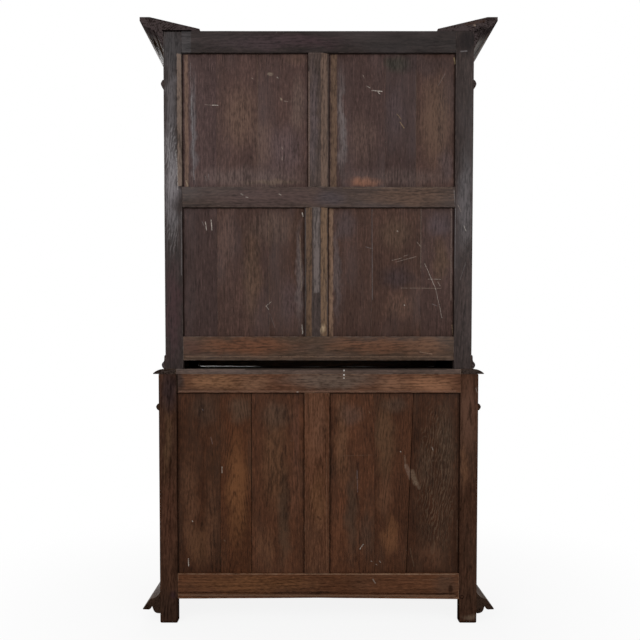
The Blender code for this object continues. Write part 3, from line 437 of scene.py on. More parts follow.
class Groups:
    """The node groups that the finishes share."""

    PATCH = {"Place": "Vector", "Middle": "Vector", "Half": "Vector", "Soft": "Float"}
    SHARE = {"Share": "Float"}
    FLAT = (1.0, 0.0, 1.0)

    def __init__(self) -> None:
        """Make each group once."""
        self.figure = self._figure()
        self.arris = self._arris()
        self.scratch = self._scratch()
        self.shapes = {Shape.ROUND: self._round(), Shape.BAND: self._band(), Shape.RIPPLE: self._ripple()}

    @staticmethod
    def _open(name: str, inputs: dict[str, str],
            outputs: dict[str, str]) -> tuple[Tree, dict[str, Socket], bpy.types.Node]:
        """Start a group.

        Args:
            name: Name of the group.
            inputs: Kind of each input by name.
            outputs: Kind of each output by name.

        Returns:
            The tree, its inputs by name and its output node.
        """
        group = bpy.data.node_groups.new(name, "ShaderNodeTree")
        for direction, sockets in (("INPUT", inputs), ("OUTPUT", outputs)):
            for socket, kind in sockets.items():
                group.interface.new_socket(socket, in_out=direction, socket_type="NodeSocket" + kind)
        start = group.nodes.new("NodeGroupInput")
        end = group.nodes.new("NodeGroupOutput")
        return Tree(group), {socket.name: socket for socket in start.outputs if socket.name}, end

    def _figure(self) -> bpy.types.NodeTree:
        """The figure of oak: rings, fibre streaks, pores, ray flecks and slow changes of tone.

        Returns:
            The group.
        """
        tree, given, end = self._open("oak_figure", {"Place": "Vector", "Drift": "Vector", "Pith": "Vector",
            "Deep": "Color", "Body": "Color", "Pale": "Color", "Rings": "Float", "Streaks": "Float",
            "Flecks": "Float", "Clouds": "Float", "Taper": "Float"},
            {"Color": "Color", "Height": "Float", "Cloud": "Float", "Streak": "Float", "Tone": "Float"})
        spot = tree.vector("ADD", given["Place"], given["Drift"])
        sway = tree.noise(spot, (3.0, 3.0, 0.9))
        ripple = tree.noise(spot, (22.0, 22.0, 5.0), 3.0)
        across, deep, along = tree.parts(tree.vector("ADD", given["Place"], given["Pith"]))
        bent = tree.plus(across, tree.centred(sway, 0.1))
        radius = tree.vector("LENGTH", tree.joined(bent, deep, 0.0))
        radius = tree.plus(radius, tree.times(along, given["Taper"]))
        radius = tree.plus(radius, tree.centred(ripple, 0.01))
        ring = tree.step(tree.math("SINE", tree.times(radius, 820.0)), 0.2, 1.0)
        ring = tree.times(ring, tree.step(tree.noise(spot, (30.0, 30.0, 4.0), 3.0), 0.3, 0.7))
        streak = tree.noise(spot, (150.0, 150.0, 6.0), 5.0)
        pore = tree.step(tree.noise(spot, (640.0, 640.0, 15.0), 2.0), 0.58, 0.7)
        dash = tree.step(tree.noise(spot, (240.0, 240.0, 26.0), 3.0), 0.54, 0.68)
        fleck = tree.step(tree.noise(spot, (42.0, 42.0, 260.0), 2.0), 0.6, 0.7)
        cloud = tree.noise(spot, (6.0, 6.0, 2.2), 4.0)
        fleck = tree.times(fleck, tree.step(cloud, 0.42, 0.6))
        tone = tree.plus(0.5, tree.centred(streak, tree.times(given["Streaks"], 2.2)))
        tone = tree.less(tone, tree.centred(ring, given["Rings"]))
        mottle = tree.noise(spot, (34.0, 34.0, 11.0), 6.0)
        speckle = tree.noise(spot, (170.0, 170.0, 48.0), 2.0)
        tone = tree.plus(tone, tree.centred(mottle, tree.times(given["Clouds"], 1.3)))
        tone = tree.plus(tone, tree.centred(speckle, 1.9))
        tone = tree.plus(tone, tree.centred(cloud, tree.times(given["Clouds"], 1.8)))
        lower = tree.step(tone, -0.25, 0.5)
        upper = tree.step(tone, 0.5, 1.25)
        colour = tree.mix(upper, tree.mix(lower, given["Deep"], given["Body"]), given["Pale"])
        colour = tree.mix(tree.times(pore, 0.55), colour, given["Deep"])
        colour = tree.mix(tree.times(dash, 0.5), colour, given["Deep"])
        colour = tree.mix(tree.times(fleck, given["Flecks"]), colour, given["Pale"])
        height = tree.less(tree.times(streak, 0.5), tree.times(pore, 0.8))
        height = tree.plus(height, tree.times(ring, 0.25))
        for name, socket in (("Color", colour), ("Height", height), ("Cloud", cloud), ("Streak", streak),
                ("Tone", tone)):
            tree.feed(end.inputs[name], socket)
        return tree.tree

    def _arris(self) -> bpy.types.NodeTree:
        """Nearness of a box's edges, 1 on an edge and 0 past a ragged width.

        Returns:
            The group.
        """
        tree, given, end = self._open("arris_nearness", {"Place": "Vector", "Middle": "Vector", "Half": "Vector",
            "Width": "Float", "Ragged": "Float"}, self.SHARE)
        away = tree.vector("ABSOLUTE", tree.vector("SUBTRACT", given["Place"], given["Middle"]))
        x, y, z = tree.parts(tree.vector("SUBTRACT", given["Half"], away))
        least = tree.math("MINIMUM", tree.math("MINIMUM", x, y), z)
        most = tree.math("MAXIMUM", tree.math("MAXIMUM", x, y), z)
        total = tree.plus(tree.plus(x, y), z)
        near = tree.less(tree.less(total, least), most)
        ragged = tree.noise(given["Place"], (38.0, 38.0, 38.0), 4.0)
        uneven = tree.times(tree.rest(tree.step(ragged, 0.3, 0.75)), given["Ragged"])
        width = tree.times(given["Width"], tree.rest(uneven))
        share = tree.rest(tree.step(near, 0.0, tree.plus(width, 0.0001)))
        tree.feed(end.inputs["Share"], share)
        return tree.tree

    def _scratch(self) -> bpy.types.NodeTree:
        """Nearness of a line between two points of the back, broken up along its way, for scratches and painted
        shadow lines.

        Returns:
            The group.
        """
        tree, given, end = self._open("scratch_line", {"Place": "Vector", "Start": "Vector", "End": "Vector",
            "Width": "Float", "Wobble": "Float", "Broken": "Float"}, self.SHARE)
        sway = self._swayed(tree, given["Place"], 45.0, given["Wobble"])
        flat = tree.vector("MULTIPLY", sway, self.FLAT)
        begin = tree.vector("MULTIPLY", given["Start"], self.FLAT)
        along = tree.vector("MULTIPLY", tree.vector("SUBTRACT", given["End"], given["Start"]), self.FLAT)
        offset = tree.vector("SUBTRACT", flat, begin)
        way = tree.math("DIVIDE", tree.vector("DOT_PRODUCT", offset, along),
            tree.plus(tree.vector("DOT_PRODUCT", along, along), 1e-9))
        way = tree.math("MINIMUM", tree.math("MAXIMUM", way, 0.0), 1.0)
        foot = tree.vector("MULTIPLY", along, tree.joined(way, way, way))
        gap = tree.vector("LENGTH", tree.vector("SUBTRACT", offset, foot))
        firm = tree.rest(given["Broken"])
        core = tree.times(given["Width"], tree.times(firm, 0.6))
        share = tree.rest(tree.step(gap, core, given["Width"]))
        whole = tree.step(tree.noise(given["Place"], (260.0, 260.0, 260.0), 3.0), 0.25, 0.6)
        tree.feed(end.inputs["Share"], tree.times(share, tree.math("MAXIMUM", whole, firm)))
        return tree.tree

    @staticmethod
    def _swayed(tree: Tree, place: Socket, scale: float, amount: object) -> Socket:
        """A place moved a little to and fro by noise.

        Args:
            tree: Tree of the group.
            place: The place.
            scale: Scale of the noise.
            amount: How far it moves.

        Returns:
            The moved place.
        """
        made = tree.node("TexNoise", Vector=place, Scale=scale, Detail=3.0)
        shift = tree.vector("SUBTRACT", made.outputs[1], (0.5, 0.5, 0.5))
        return tree.vector("ADD", place, tree.vector("MULTIPLY", shift, tree.joined(amount, amount, amount)))

    def _round(self) -> bpy.types.NodeTree:
        """A cloudy round patch on the back.

        Returns:
            The group.
        """
        tree, given, end = self._open(Shape.ROUND.value, self.PATCH, self.SHARE)
        sway = self._swayed(tree, given["Place"], 14.0, 0.06)
        offset = tree.vector("DIVIDE", tree.vector("SUBTRACT", sway, given["Middle"]), given["Half"])
        gap = tree.vector("LENGTH", tree.vector("MULTIPLY", offset, self.FLAT))
        tree.feed(end.inputs["Share"], tree.rest(tree.step(gap, 0.25, 1.15)))
        return tree.tree

    def _band(self) -> bpy.types.NodeTree:
        """A band on the back with clear but slightly ragged sides.

        Returns:
            The group.
        """
        tree, given, end = self._open(Shape.BAND.value, self.PATCH, self.SHARE)
        sway = self._swayed(tree, given["Place"], 60.0, 0.007)
        away = tree.vector("ABSOLUTE", tree.vector("SUBTRACT", sway, given["Middle"]))
        x, _, z = tree.parts(tree.vector("SUBTRACT", given["Half"], away))
        share = tree.times(tree.step(x, 0.0, given["Soft"]), tree.step(z, 0.0, given["Soft"]))
        tree.feed(end.inputs["Share"], share)
        return tree.tree

    def _ripple(self) -> bpy.types.NodeTree:
        """A round patch of wavy lines, as round a knot or in curly wood.

        Returns:
            The group.
        """
        tree, given, end = self._open(Shape.RIPPLE.value, self.PATCH, self.SHARE)
        offset = tree.vector("DIVIDE", tree.vector("SUBTRACT", given["Place"], given["Middle"]), given["Half"])
        gap = tree.vector("LENGTH", tree.vector("MULTIPLY", offset, self.FLAT))
        sway = self._swayed(tree, tree.vector("MULTIPLY", given["Place"], (1.0, 0.0, 0.45)), 26.0, 0.05)
        x, _, z = tree.parts(self._swayed(tree, sway, 90.0, 0.008))
        wave = tree.math("SINE", tree.times(tree.plus(x, tree.times(z, 0.35)), 620.0))
        lines = tree.step(wave, -0.2, 0.9)
        tree.feed(end.inputs["Share"], tree.times(lines, tree.rest(tree.step(gap, 0.45, 1.05))))
        return tree.tree


class Polisher:
    """Makes the materials and puts them on the pieces."""

    def __init__(self) -> None:
        """Get the shared node groups ready."""
        self.groups = Groups()
        self.metals: dict[str, bpy.types.Material] = {}

    @staticmethod
    def _start(name: str) -> tuple[bpy.types.Material, Tree, bpy.types.Node, Socket]:
        """Start a material.

        Args:
            name: Its name.

        Returns:
            The material, its tree, its shader and the place on the piece.
        """
        material = bpy.data.materials.new(name)
        material.use_nodes = True
        tree = Tree(material.node_tree)
        shader = material.node_tree.nodes["Principled BSDF"]
        return material, tree, shader, tree.node("TexCoord").outputs["Object"]

    @staticmethod
    def _tones(finish: OakFinish, look: Look) -> list[Colour]:
        """The dark, main and pale tone of a board.

        Args:
            finish: Stain and polish.
            look: How the board differs from others.

        Returns:
            The three tones.
        """
        shift = (1 + 0.22 * look.warmth, 1.0, 1 - 0.3 * look.warmth)
        body = tuple(value * look.tone * turn for value, turn in zip(finish.body, shift))
        return Polisher._around(body, finish.deep, 1.0, finish.pale)

    @staticmethod
    def _around(colour: Colour, *gains: float) -> list[Colour]:
        """A colour at several strengths."""
        return [tuple(value * gain for value in colour) for gain in gains]

    def oak(self, piece: Piece, finish: OakFinish, grain: Grain, look: Look = Look(),
            box: tuple[Point, Point] | None = None) -> None:
        """Dress a piece in oak of its own.

        Args:
            piece: The piece.
            finish: Stain and polish.
            grain: Axis of the fibres.
            look: How it differs from other boards.
            box: Low and high corner whose arrises are rubbed, or the piece's own box.
        """
        material, tree, shader, place = self._start(f"{finish.name}_{piece.name}")
        corners = [Vector(corner) for corner in piece.bound_box]
        low, high = box or (tuple(map(min, zip(*corners))), tuple(map(max, zip(*corners))))
        middle = [(a + b) / 2 for a, b in zip(low, high)]
        names = {"X": 0, "Y": 1, "Z": 2}
        inner = tree.parts(tree.vector("SUBTRACT", place, tuple(middle)))
        turned = tree.joined(*(inner[names[axis]] for axis in grain.value))
        seed = zlib.crc32(piece.name.encode())
        drift = (seed % 1009 / 97.0, seed % 917 / 83.0, seed % 853 / 71.0)
        deep, body, pale = self._tones(finish, look)
        figure = tree.call(self.groups.figure, Place=turned, Drift=drift, Pith=(*look.pith, 0.0), Deep=deep,
            Body=body, Pale=pale, Rings=finish.rings * look.rings, Streaks=finish.streaks, Flecks=finish.flecks,
            Clouds=finish.clouds, Taper=look.taper)
        colour = figure.outputs["Color"]
        veil = tree.step(tree.noise(tree.vector("ADD", turned, drift), (9.0, 9.0, 2.6), 4.0), 0.45, 0.75)
        colour = tree.mix(tree.times(veil, finish.bloom_share), colour, finish.bloom)
        normal = tree.node("TexCoord").outputs["Normal"]
        behind = tree.step(tree.parts(normal)[1], 0.2, 0.6)
        for patch in look.patches:
            colour = self._patched(tree, place, colour, patch, high[1], figure.outputs["Tone"],
                behind if look.grime else 1.0)
        # Dirt and painted shade in the recess: a wide soft darkening and a narrow near-black line along the box's
        # top and sides.
        if look.grime:
            for width, share, ragged in ((0.03, 0.35, 1.0), (0.0075, 0.92, 0.3)):
                dirt_and_shade = self._near(tree, place, *look.grime, width, ragged)
                colour = tree.mix(tree.times(dirt_and_shade, share), colour, NEAR_BLACK)
        facing = tree.parts(tree.vector("ABSOLUTE", normal))
        ends = tree.step(facing[names[grain.value[2]]], 0.75, 0.95)
        if finish.fade:
            ends = tree.math("MAXIMUM", ends, tree.step(tree.parts(place)[1], *finish.fade))
        if look.flank:
            outer = tree.step(tree.times(tree.parts(normal)[0], float(look.flank.value)), 0.6, 0.9)
            polish = tree.mix(tree.step(figure.outputs["Tone"], 0.0, 1.0), *self._around(POLISHED.body, 0.5, 1.6))
            colour = tree.mix(outer, colour, polish)
        speckled = tree.mix(tree.step(figure.outputs["Tone"], 0.15, 0.85), *self._around(finish.ends, 0.2, 1.9))
        colour = tree.mix(tree.times(ends, 0.85), colour, speckled)
        rubbed = self._near(tree, place, low, high, finish.worn_width * look.wear)
        colour = tree.mix(tree.times(rubbed, 0.7), colour, finish.worn)
        for mark in look.marks:
            colour = self._marked(tree, place, colour, mark, high[1], behind)
        rough = tree.plus(finish.rough, tree.centred(figure.outputs["Streak"], 0.24))
        rough = tree.plus(rough, tree.centred(figure.outputs["Cloud"], 0.2))
        tree.feed(shader.inputs["Base Color"], colour)
        tree.feed(shader.inputs["Roughness"], tree.plus(rough, tree.times(ends, 0.25)))
        gloss = tree.times(finish.specular, tree.rest(ends))
        if finish.fade:
            gloss = tree.times(gloss, tree.step(figure.outputs["Streak"], 0.4, 0.56))
        tree.feed(shader.inputs["Specular IOR Level"], gloss)
        bump = tree.node("Bump", Strength=0.55, Distance=finish.relief, Height=figure.outputs["Height"])
        tree.feed(shader.inputs["Normal"], bump.outputs[0])
        self._put_on(piece, material)

    def _near(self, tree: Tree, place: Socket, low: Point, high: Point, width: float,
            ragged: float = 1.0) -> Socket:
        """Nearness of the edges of a box, as a share.

        Args:
            tree: Tree of the material.
            place: Place on the piece.
            low: Low corner of the box.
            high: Its high corner.
            width: How far the nearness reaches.
            ragged: How uneven that is, from 0 to 1.

        Returns:
            The share.
        """
        middle = tuple((a + b) / 2 for a, b in zip(low, high))
        half = tuple((b - a) / 2 for a, b in zip(low, high))
        return tree.call(self.groups.arris, Place=place, Middle=middle, Half=half, Width=width,
            Ragged=ragged).outputs[0]

    def _patched(self, tree: Tree, place: Socket, colour: Socket, patch: Patch, depth: float, tone: Socket,
            shown: object) -> Socket:
        """Lay a patch of another tone over a colour, keeping its fine grain.

        Args:
            tree: Tree of the material.
            place: Place on the piece.
            colour: The colour below.
            patch: The patch.
            depth: Y of the face that carries it.
            tone: Tone of the grain, which the patch follows.
            shown: Share of the patch on the faces that carry it.

        Returns:
            The colour with the patch.
        """
        middle = SIGHT.on_back((patch.x, patch.y), depth)
        corner = SIGHT.on_back((patch.x - patch.wide, patch.y - patch.high), depth)
        half = tuple(max(abs(a - b), 0.001) for a, b in zip(corner, middle))
        share = tree.call(self.groups.shapes[patch.shape], Place=place, Middle=middle, Half=half,
            Soft=patch.soft).outputs[0]
        grained = tree.mix(tree.step(tone, 0.0, 1.0), *self._around(patch.colour, 0.55, 1.5))
        share = tree.times(share, shown)
        return tree.mix(tree.times(share, patch.share), colour, grained)

    def _marked(self, tree: Tree, place: Socket, colour: Socket, mark: Mark, depth: float,
            behind: Socket) -> Socket:
        """Lay a mark, such as a scratch or a painted shadow line, over a colour, on the faces that look to the back.

        Args:
            tree: Tree of the material.
            place: Place on the piece.
            colour: The colour below.
            mark: The scratch or other mark.
            depth: Y of the face that carries it.
            behind: Share of it on the faces that carry it.

        Returns:
            The colour with the mark.
        """
        share = tree.call(self.groups.scratch, Place=place, Start=SIGHT.on_back((mark.x, mark.y), depth),
            End=SIGHT.on_back((mark.to_x, mark.to_y), depth), Width=mark.width, Wobble=mark.wobble,
            Broken=mark.broken).outputs[0]
        share = tree.times(share, behind)
        return tree.mix(tree.times(share, mark.share), colour, mark.colour)

    def metal(self, piece: Piece, finish: MetalFinish) -> None:
        """Dress a piece in worn metal.

        Args:
            piece: The piece.
            finish: The metal.
        """
        if finish.name not in self.metals:
            material, tree, shader, place = self._start(finish.name)
            cloud = tree.noise(place, (48.0, 48.0, 48.0), 4.0)
            fine = tree.noise(place, (900.0, 900.0, 900.0), 3.0)
            tarnish = tree.step(cloud, 0.38, 0.66)
            tree.feed(shader.inputs["Base Color"], tree.mix(tarnish, finish.bright, finish.dull))
            rough = tree.plus(finish.rough, tree.times(tarnish, 0.25))
            tree.feed(shader.inputs["Roughness"], tree.plus(rough, tree.centred(fine, 0.15)))
            shader.inputs["Metallic"].default_value = 1.0
            bump = tree.node("Bump", Strength=0.3, Distance=0.0002, Height=fine)
            tree.feed(shader.inputs["Normal"], bump.outputs[0])
            self.metals[finish.name] = material
        self._put_on(piece, self.metals[finish.name])

    def glass(self, piece: Piece) -> None:
        """Dress a piece in old drawn glass with slow waves and a little dust.

        Args:
            piece: The piece.
        """
        material, tree, shader, place = self._start(f"drawn_glass_{piece.name}")
        wave = tree.noise(place, (14.0, 14.0, 5.0), 2.0)
        dust = tree.step(tree.noise(place, (60.0, 60.0, 40.0), 6.0), 0.52, 0.8)
        shader.inputs["Base Color"].default_value = (0.93, 0.95, 0.93, 1.0)
        shader.inputs["Transmission Weight"].default_value = 1.0
        shader.inputs["IOR"].default_value = 1.48
        tree.feed(shader.inputs["Roughness"], tree.plus(0.02, tree.times(dust, 0.1)))
        bump = tree.node("Bump", Strength=0.006, Distance=0.002, Height=wave)
        tree.feed(shader.inputs["Normal"], bump.outputs[0])
        self._put_on(piece, material)

    @staticmethod
    def _put_on(piece: Piece, material: bpy.types.Material) -> None:
        """Give a piece its one material."""
        piece.data.materials.clear()
        piece.data.materials.append(material)


# ------------------------------------------------------------------------------------------- tools

@dataclass(frozen=True)
class Chamfer:
    """A flat along one upright edge of a back face, over a Z range or, without one, over its whole length."""

    edge: Edge
    width: float
    depth: float
    span: tuple[float, float] | None = None


class Bench:
    """The hand tools that the pieces are made with."""

    ROUND_STEPS = 2
    SHARP = math.radians(32)
    SMOOTH = math.radians(40)
    TURNED = math.radians(45)
    STATION = 0.09

    @staticmethod
    def clear() -> None:
        """Put every piece down."""
        if bpy.context.object and bpy.context.object.mode != "OBJECT":
            bpy.ops.object.mode_set(mode="OBJECT")
        bpy.ops.object.select_all(action="DESELECT")

    @classmethod
    def take(cls, piece: Piece) -> None:
        """Select one piece alone.

        Args:
            piece: The piece.
        """
        cls.clear()
        piece.select_set(True)
        bpy.context.view_layer.objects.active = piece

    @staticmethod
    def named(name: str) -> Piece:
        """Name the piece that was just added, put its place into its mesh and return it.

        Args:
            name: Its name.

        Returns:
            The piece.
        """
        piece = bpy.context.active_object
        piece.name = piece.data.name = name
        bpy.ops.object.transform_apply()
        return piece

    @classmethod
    def block(cls, name: str, low: Point, high: Point) -> Piece:
        """Saw a block to size.

        Args:
            name: Name of the piece.
            low: Its low corner.
            high: Its high corner.

        Returns:
            The block.
        """
        cls.clear()
        middle = [(a + b) / 2 for a, b in zip(low, high)]
        bpy.ops.mesh.primitive_cube_add(size=1.0, location=middle)
        bpy.context.active_object.scale = [b - a for a, b in zip(low, high)]
        return cls.named(name)

    @classmethod
    def edit(cls, piece: Piece, kind: str = "VERT", chosen: Callable[[Vector], bool] | None = None) -> None:
        """Go into edit mode with the chosen elements selected.

        Args:
            piece: The piece.
            kind: VERT or EDGE.
            chosen: Test on a vertex or on an edge's middle; None for all.
        """
        cls.take(piece)
        bpy.ops.object.mode_set(mode="EDIT")
        bpy.ops.mesh.select_mode(type=kind)
        bpy.ops.mesh.select_all(action="DESELECT" if chosen else "SELECT")
        if not chosen:
            return
        bpy.ops.object.mode_set(mode="OBJECT")
        mesh = piece.data
        if kind == "EDGE":
            for edge in mesh.edges:
                start, end = (mesh.vertices[index].co for index in edge.vertices)
                edge.select = chosen((start + end) / 2)
        else:
            for vertex in mesh.vertices:
                vertex.select = chosen(vertex.co)
        bpy.ops.object.mode_set(mode="EDIT")

    @staticmethod
    def done() -> None:
        """Leave edit mode."""
        bpy.ops.object.mode_set(mode="OBJECT")

    @classmethod
    def shift(cls, piece: Piece, way: Point, chosen: Callable[[Vector], bool] | None = None) -> None:
        """Move the chosen points of a piece, or all of them.

        Args:
            piece: The piece.
            way: How far they move.
            chosen: Test on a point; None for all.
        """
        cls.edit(piece, "VERT", chosen)
        bpy.ops.transform.translate(value=way)
        cls.done()

    @classmethod
    def saw(cls, piece: Piece, point: Point, normal: Point, drop: bool = True) -> None:
        """Cut through a piece.

        Args:
            piece: The piece.
            point: A point of the cut.
            normal: Direction across the cut.
            drop: Take away what lies along the normal and close the cut, or only draw a line.
        """
        cls.edit(piece)
        bpy.ops.mesh.bisect(plane_co=point, plane_no=normal, use_fill=drop, clear_outer=drop)
        cls.done()

    @classmethod
    def plane_edge(cls, piece: Piece, high: Point, low: Point, chamfer: Chamfer) -> None:
        """Plane a chamfer on an upright edge of the back face.

        Args:
            piece: A block.
            high: Its high corner.
            low: Its low corner.
            chamfer: The chamfer.
        """
        edge_x = low[0] if chamfer.edge is Edge.LOW_X else high[0]
        cls.saw(piece, (edge_x + chamfer.edge.value * chamfer.width, 0, 0), (1, 0, 0), drop=False)
        bottom, top = chamfer.span or (low[2] - 1.0, high[2] + 1.0)
        if chamfer.span:
            run = chamfer.width * 0.6
            for level in (bottom - run, bottom, top, top + run):
                cls.saw(piece, (0, 0, level), (0, 0, 1), drop=False)
        cls.shift(piece, (0, -chamfer.depth, 0), lambda spot: (abs(spot.x - edge_x) < TOUCH
            and abs(spot.y - high[1]) < TOUCH and bottom - TOUCH <= spot.z <= top + TOUCH))

    @classmethod
    def soften(cls, piece: Piece, width: float) -> None:
        """Round the sharp edges of a piece and shade it smooth.

        Args:
            piece: The piece.
            width: Width of the rounding.
        """
        cls.take(piece)
        bevel = piece.modifiers.new("rounding", "BEVEL")
        bevel.width = width
        bevel.segments = cls.ROUND_STEPS
        bevel.limit_method = "ANGLE"
        bevel.angle_limit = cls.SHARP
        bpy.ops.object.modifier_apply(modifier=bevel.name)
        bpy.ops.object.shade_smooth_by_angle(angle=cls.SMOOTH)

    @classmethod
    def age(cls, piece: Piece, shake: float, seed: int) -> None:
        """Give a softened board the slight unevenness of handwork along its length.

        Args:
            piece: The board.
            shake: How far a point strays.
            seed: Seed of the unevenness.
        """
        size = piece.dimensions
        axis = max(range(3), key=lambda index: size[index])
        normal = tuple(1.0 if index == axis else 0.0 for index in range(3))
        low = min(corner[axis] for corner in piece.bound_box)
        count = max(1, int(size[axis] / cls.STATION))
        for index in range(1, count):
            point = tuple(low + size[axis] * index / count if k == axis else 0.0 for k in range(3))
            cls.saw(piece, point, normal, drop=False)
        cls.edit(piece)
        bpy.ops.transform.vertex_random(offset=shake, uniform=0.2, normal=0.0, seed=seed)
        cls.done()

    @classmethod
    def copy(cls, node: str, name: str, *cuts: tuple[Point, Point]) -> Piece:
        """Take a copy of a CAD node, merged, and saw it to what lies behind every cut.

        Args:
            node: Name of the node.
            name: Name of the piece.
            cuts: Point and normal of each cut.

        Returns:
            The piece.
        """
        cls.clear()
        source = frame["nodes"][node]
        piece = bpy.data.objects.new(name, source.data.copy())
        piece.data.name = name
        piece.matrix_world = source.matrix_world
        bpy.context.scene.collection.objects.link(piece)
        cls.edit(piece)
        bpy.ops.mesh.remove_doubles(threshold=0.00002)
        bpy.ops.mesh.dissolve_limited(angle_limit=math.radians(0.5))
        cls.done()
        cls.take(piece)
        bpy.ops.object.transform_apply()
        for point, normal in cuts:
            cls.saw(piece, point, normal)
        return piece

    @classmethod
    def turn(cls, name: str, place: Point, axis: Axis, profile: Sequence[tuple[float, float]],
            steps: int = 28) -> Piece:
        """Turn a piece on the lathe.

        Args:
            name: Name of the piece.
            place: Where its axis starts.
            axis: Upright, or towards the front.
            profile: Radius and distance along the axis, from end to end.
            steps: Sides of the round.

        Returns:
            The piece.
        """
        cls.clear()
        bpy.ops.mesh.primitive_circle_add(vertices=steps, radius=profile[0][0], fill_type="NGON",
            location=(0, 0, profile[0][1]))
        piece = cls.named(name)
        cls.edit(piece)
        for (before, start), (radius, end) in zip(profile, profile[1:]):
            bpy.ops.mesh.extrude_region_move(TRANSFORM_OT_translate={"value": (0, 0, end - start)})
            bpy.ops.transform.resize(value=(radius / before, radius / before, 1.0))
        bpy.ops.mesh.select_all(action="SELECT")
        bpy.ops.mesh.normals_make_consistent(inside=False)
        cls.done()
        if axis is Axis.FRONTWARD:
            piece.rotation_euler = (math.pi / 2, 0, 0)
        piece.location = place
        cls.take(piece)
        bpy.ops.object.transform_apply()
        bpy.ops.object.shade_smooth_by_angle(angle=cls.TURNED)
        return piece

    @classmethod
    def join(cls, name: str, pieces: Sequence[Piece]) -> Piece:
        """Fix several pieces together as one.

        Args:
            name: Name of the new piece.
            pieces: The pieces that go into it.

        Returns:
            The new piece.
        """
        cls.clear()
        for piece in pieces:
            piece.select_set(True)
        bpy.context.view_layer.objects.active = pieces[0]
        bpy.ops.object.join()
        pieces[0].name = pieces[0].data.name = name
        return pieces[0]

    @classmethod
    def again(cls, piece: Piece, name: str, shift: Point) -> Piece:
        """Make the same piece once more at another place, with a mesh of its own.

        Args:
            piece: The piece.
            name: Name of the copy.
            shift: Where it stands from the piece.

        Returns:
            The copy.
        """
        cls.clear()
        twin = piece.copy()
        twin.data = piece.data.copy()
        twin.name = twin.data.name = name
        bpy.context.scene.collection.objects.link(twin)
        cls.shift(twin, shift)
        return twin


POLISH = Polisher()


class Assembly:
    """What every sub-assembly does with a finished piece."""

    def settle(self, piece: Piece, body: str, *nodes: str) -> Piece:
        """Fix a piece to its body and let it stand for its nodes.

        Args:
            piece: The piece.
            body: The body that it moves with.
            nodes: The CAD nodes that it stands for.

        Returns:
            The piece.
        """
        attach(piece, body)
        if nodes:
            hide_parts(*nodes)
        LOG.info("%s rides on %s and stands for %s", piece.name, body, ", ".join(nodes) or "itself")
        return piece

    def board(self, name: str, node: str, low: Point, high: Point, finish: OakFinish, grain: Grain,
            look: Look = Look(), chamfers: Sequence[Chamfer] = (), arris: float = 0.0016, shake: float = 0.0003,
            lean: tuple[float, float] = (0.0, 0.0), toe: float = 0.0,
            hollow: tuple[float, float] = (0.0, 0.0)) -> Piece:
        """Make a board of the carcass.

        Args:
            name: Name of the piece.
            node: The CAD node that it belongs to.
            low: Its low corner.
            high: Its high corner.
            finish: Stain and polish.
            grain: Axis of its fibres.
            look: How it differs from other boards.
            chamfers: Chamfers on its back face.
            arris: Rounding of its edges.
            shake: Unevenness along it.
            lean: How far the top of its low and high X side stands out of plumb.
            toe: Rounding of the two bottom corners of its back face.
            hollow: How far its underside hangs below its middle at the low and the high X end.

        Returns:
            The board.
        """
        piece = Bench.block(name, low, high)
        if toe:
            middle = (low[1] + high[1]) / 2
            Bench.edit(piece, "EDGE", lambda spot: abs(spot.z - low[2]) < TOUCH and abs(spot.y - middle) < TOUCH)
            bpy.ops.mesh.bevel(offset=toe, segments=3)
            Bench.done()
        for chamfer in chamfers:
            Bench.plane_edge(piece, high, low, chamfer)
        for side_x, shift in zip((low[0], high[0]), lean):
            if shift:
                Bench.shift(piece, (shift, 0, 0),
                    lambda spot: abs(spot.x - side_x) < TOUCH and spot.z > high[2] - TOUCH)
        if any(hollow):
            Bench.saw(piece, ((low[0] + high[0]) / 2, 0, 0), (1, 0, 0), drop=False)
            for side_x, drop in zip((low[0], high[0]), hollow):
                Bench.shift(piece, (0, 0, -drop),
                    lambda spot: abs(spot.x - side_x) < TOUCH and spot.z < low[2] + TOUCH)
        Bench.soften(piece, arris)
        if shake:
            Bench.age(piece, shake, len(bpy.data.objects))
        rubbed = ((low[0] + min(lean[0], 0.0), *low[1:]), (high[0] + max(lean[1], 0.0), *high[1:]))
        POLISH.oak(piece, finish, grain, look, rubbed)
        return self.settle(piece, "carcass", node)

    def refined(self, name: str, node: str, finish: OakFinish, grain: Grain, *cuts: tuple[Point, Point],
            look: Look = Look(), arris: float = 0.0008, body: str = "carcass") -> Piece:
        """Make a piece from a merged copy of a CAD node.

        Args:
            name: Name of the piece.
            node: The CAD node.
            finish: Stain and polish.
            grain: Axis of its fibres.
            cuts: Point and normal of each cut through the copy.
            look: How it differs from other boards.
            arris: Rounding of its edges.
            body: The body that it moves with.

        Returns:
            The piece.
        """
        piece = Bench.copy(node, name, *cuts)
        Bench.soften(piece, arris)
        POLISH.oak(piece, finish, grain, look)
        return self.settle(piece, body, node)


# ---------------------------------------------------------------------------------- sub-assemblies

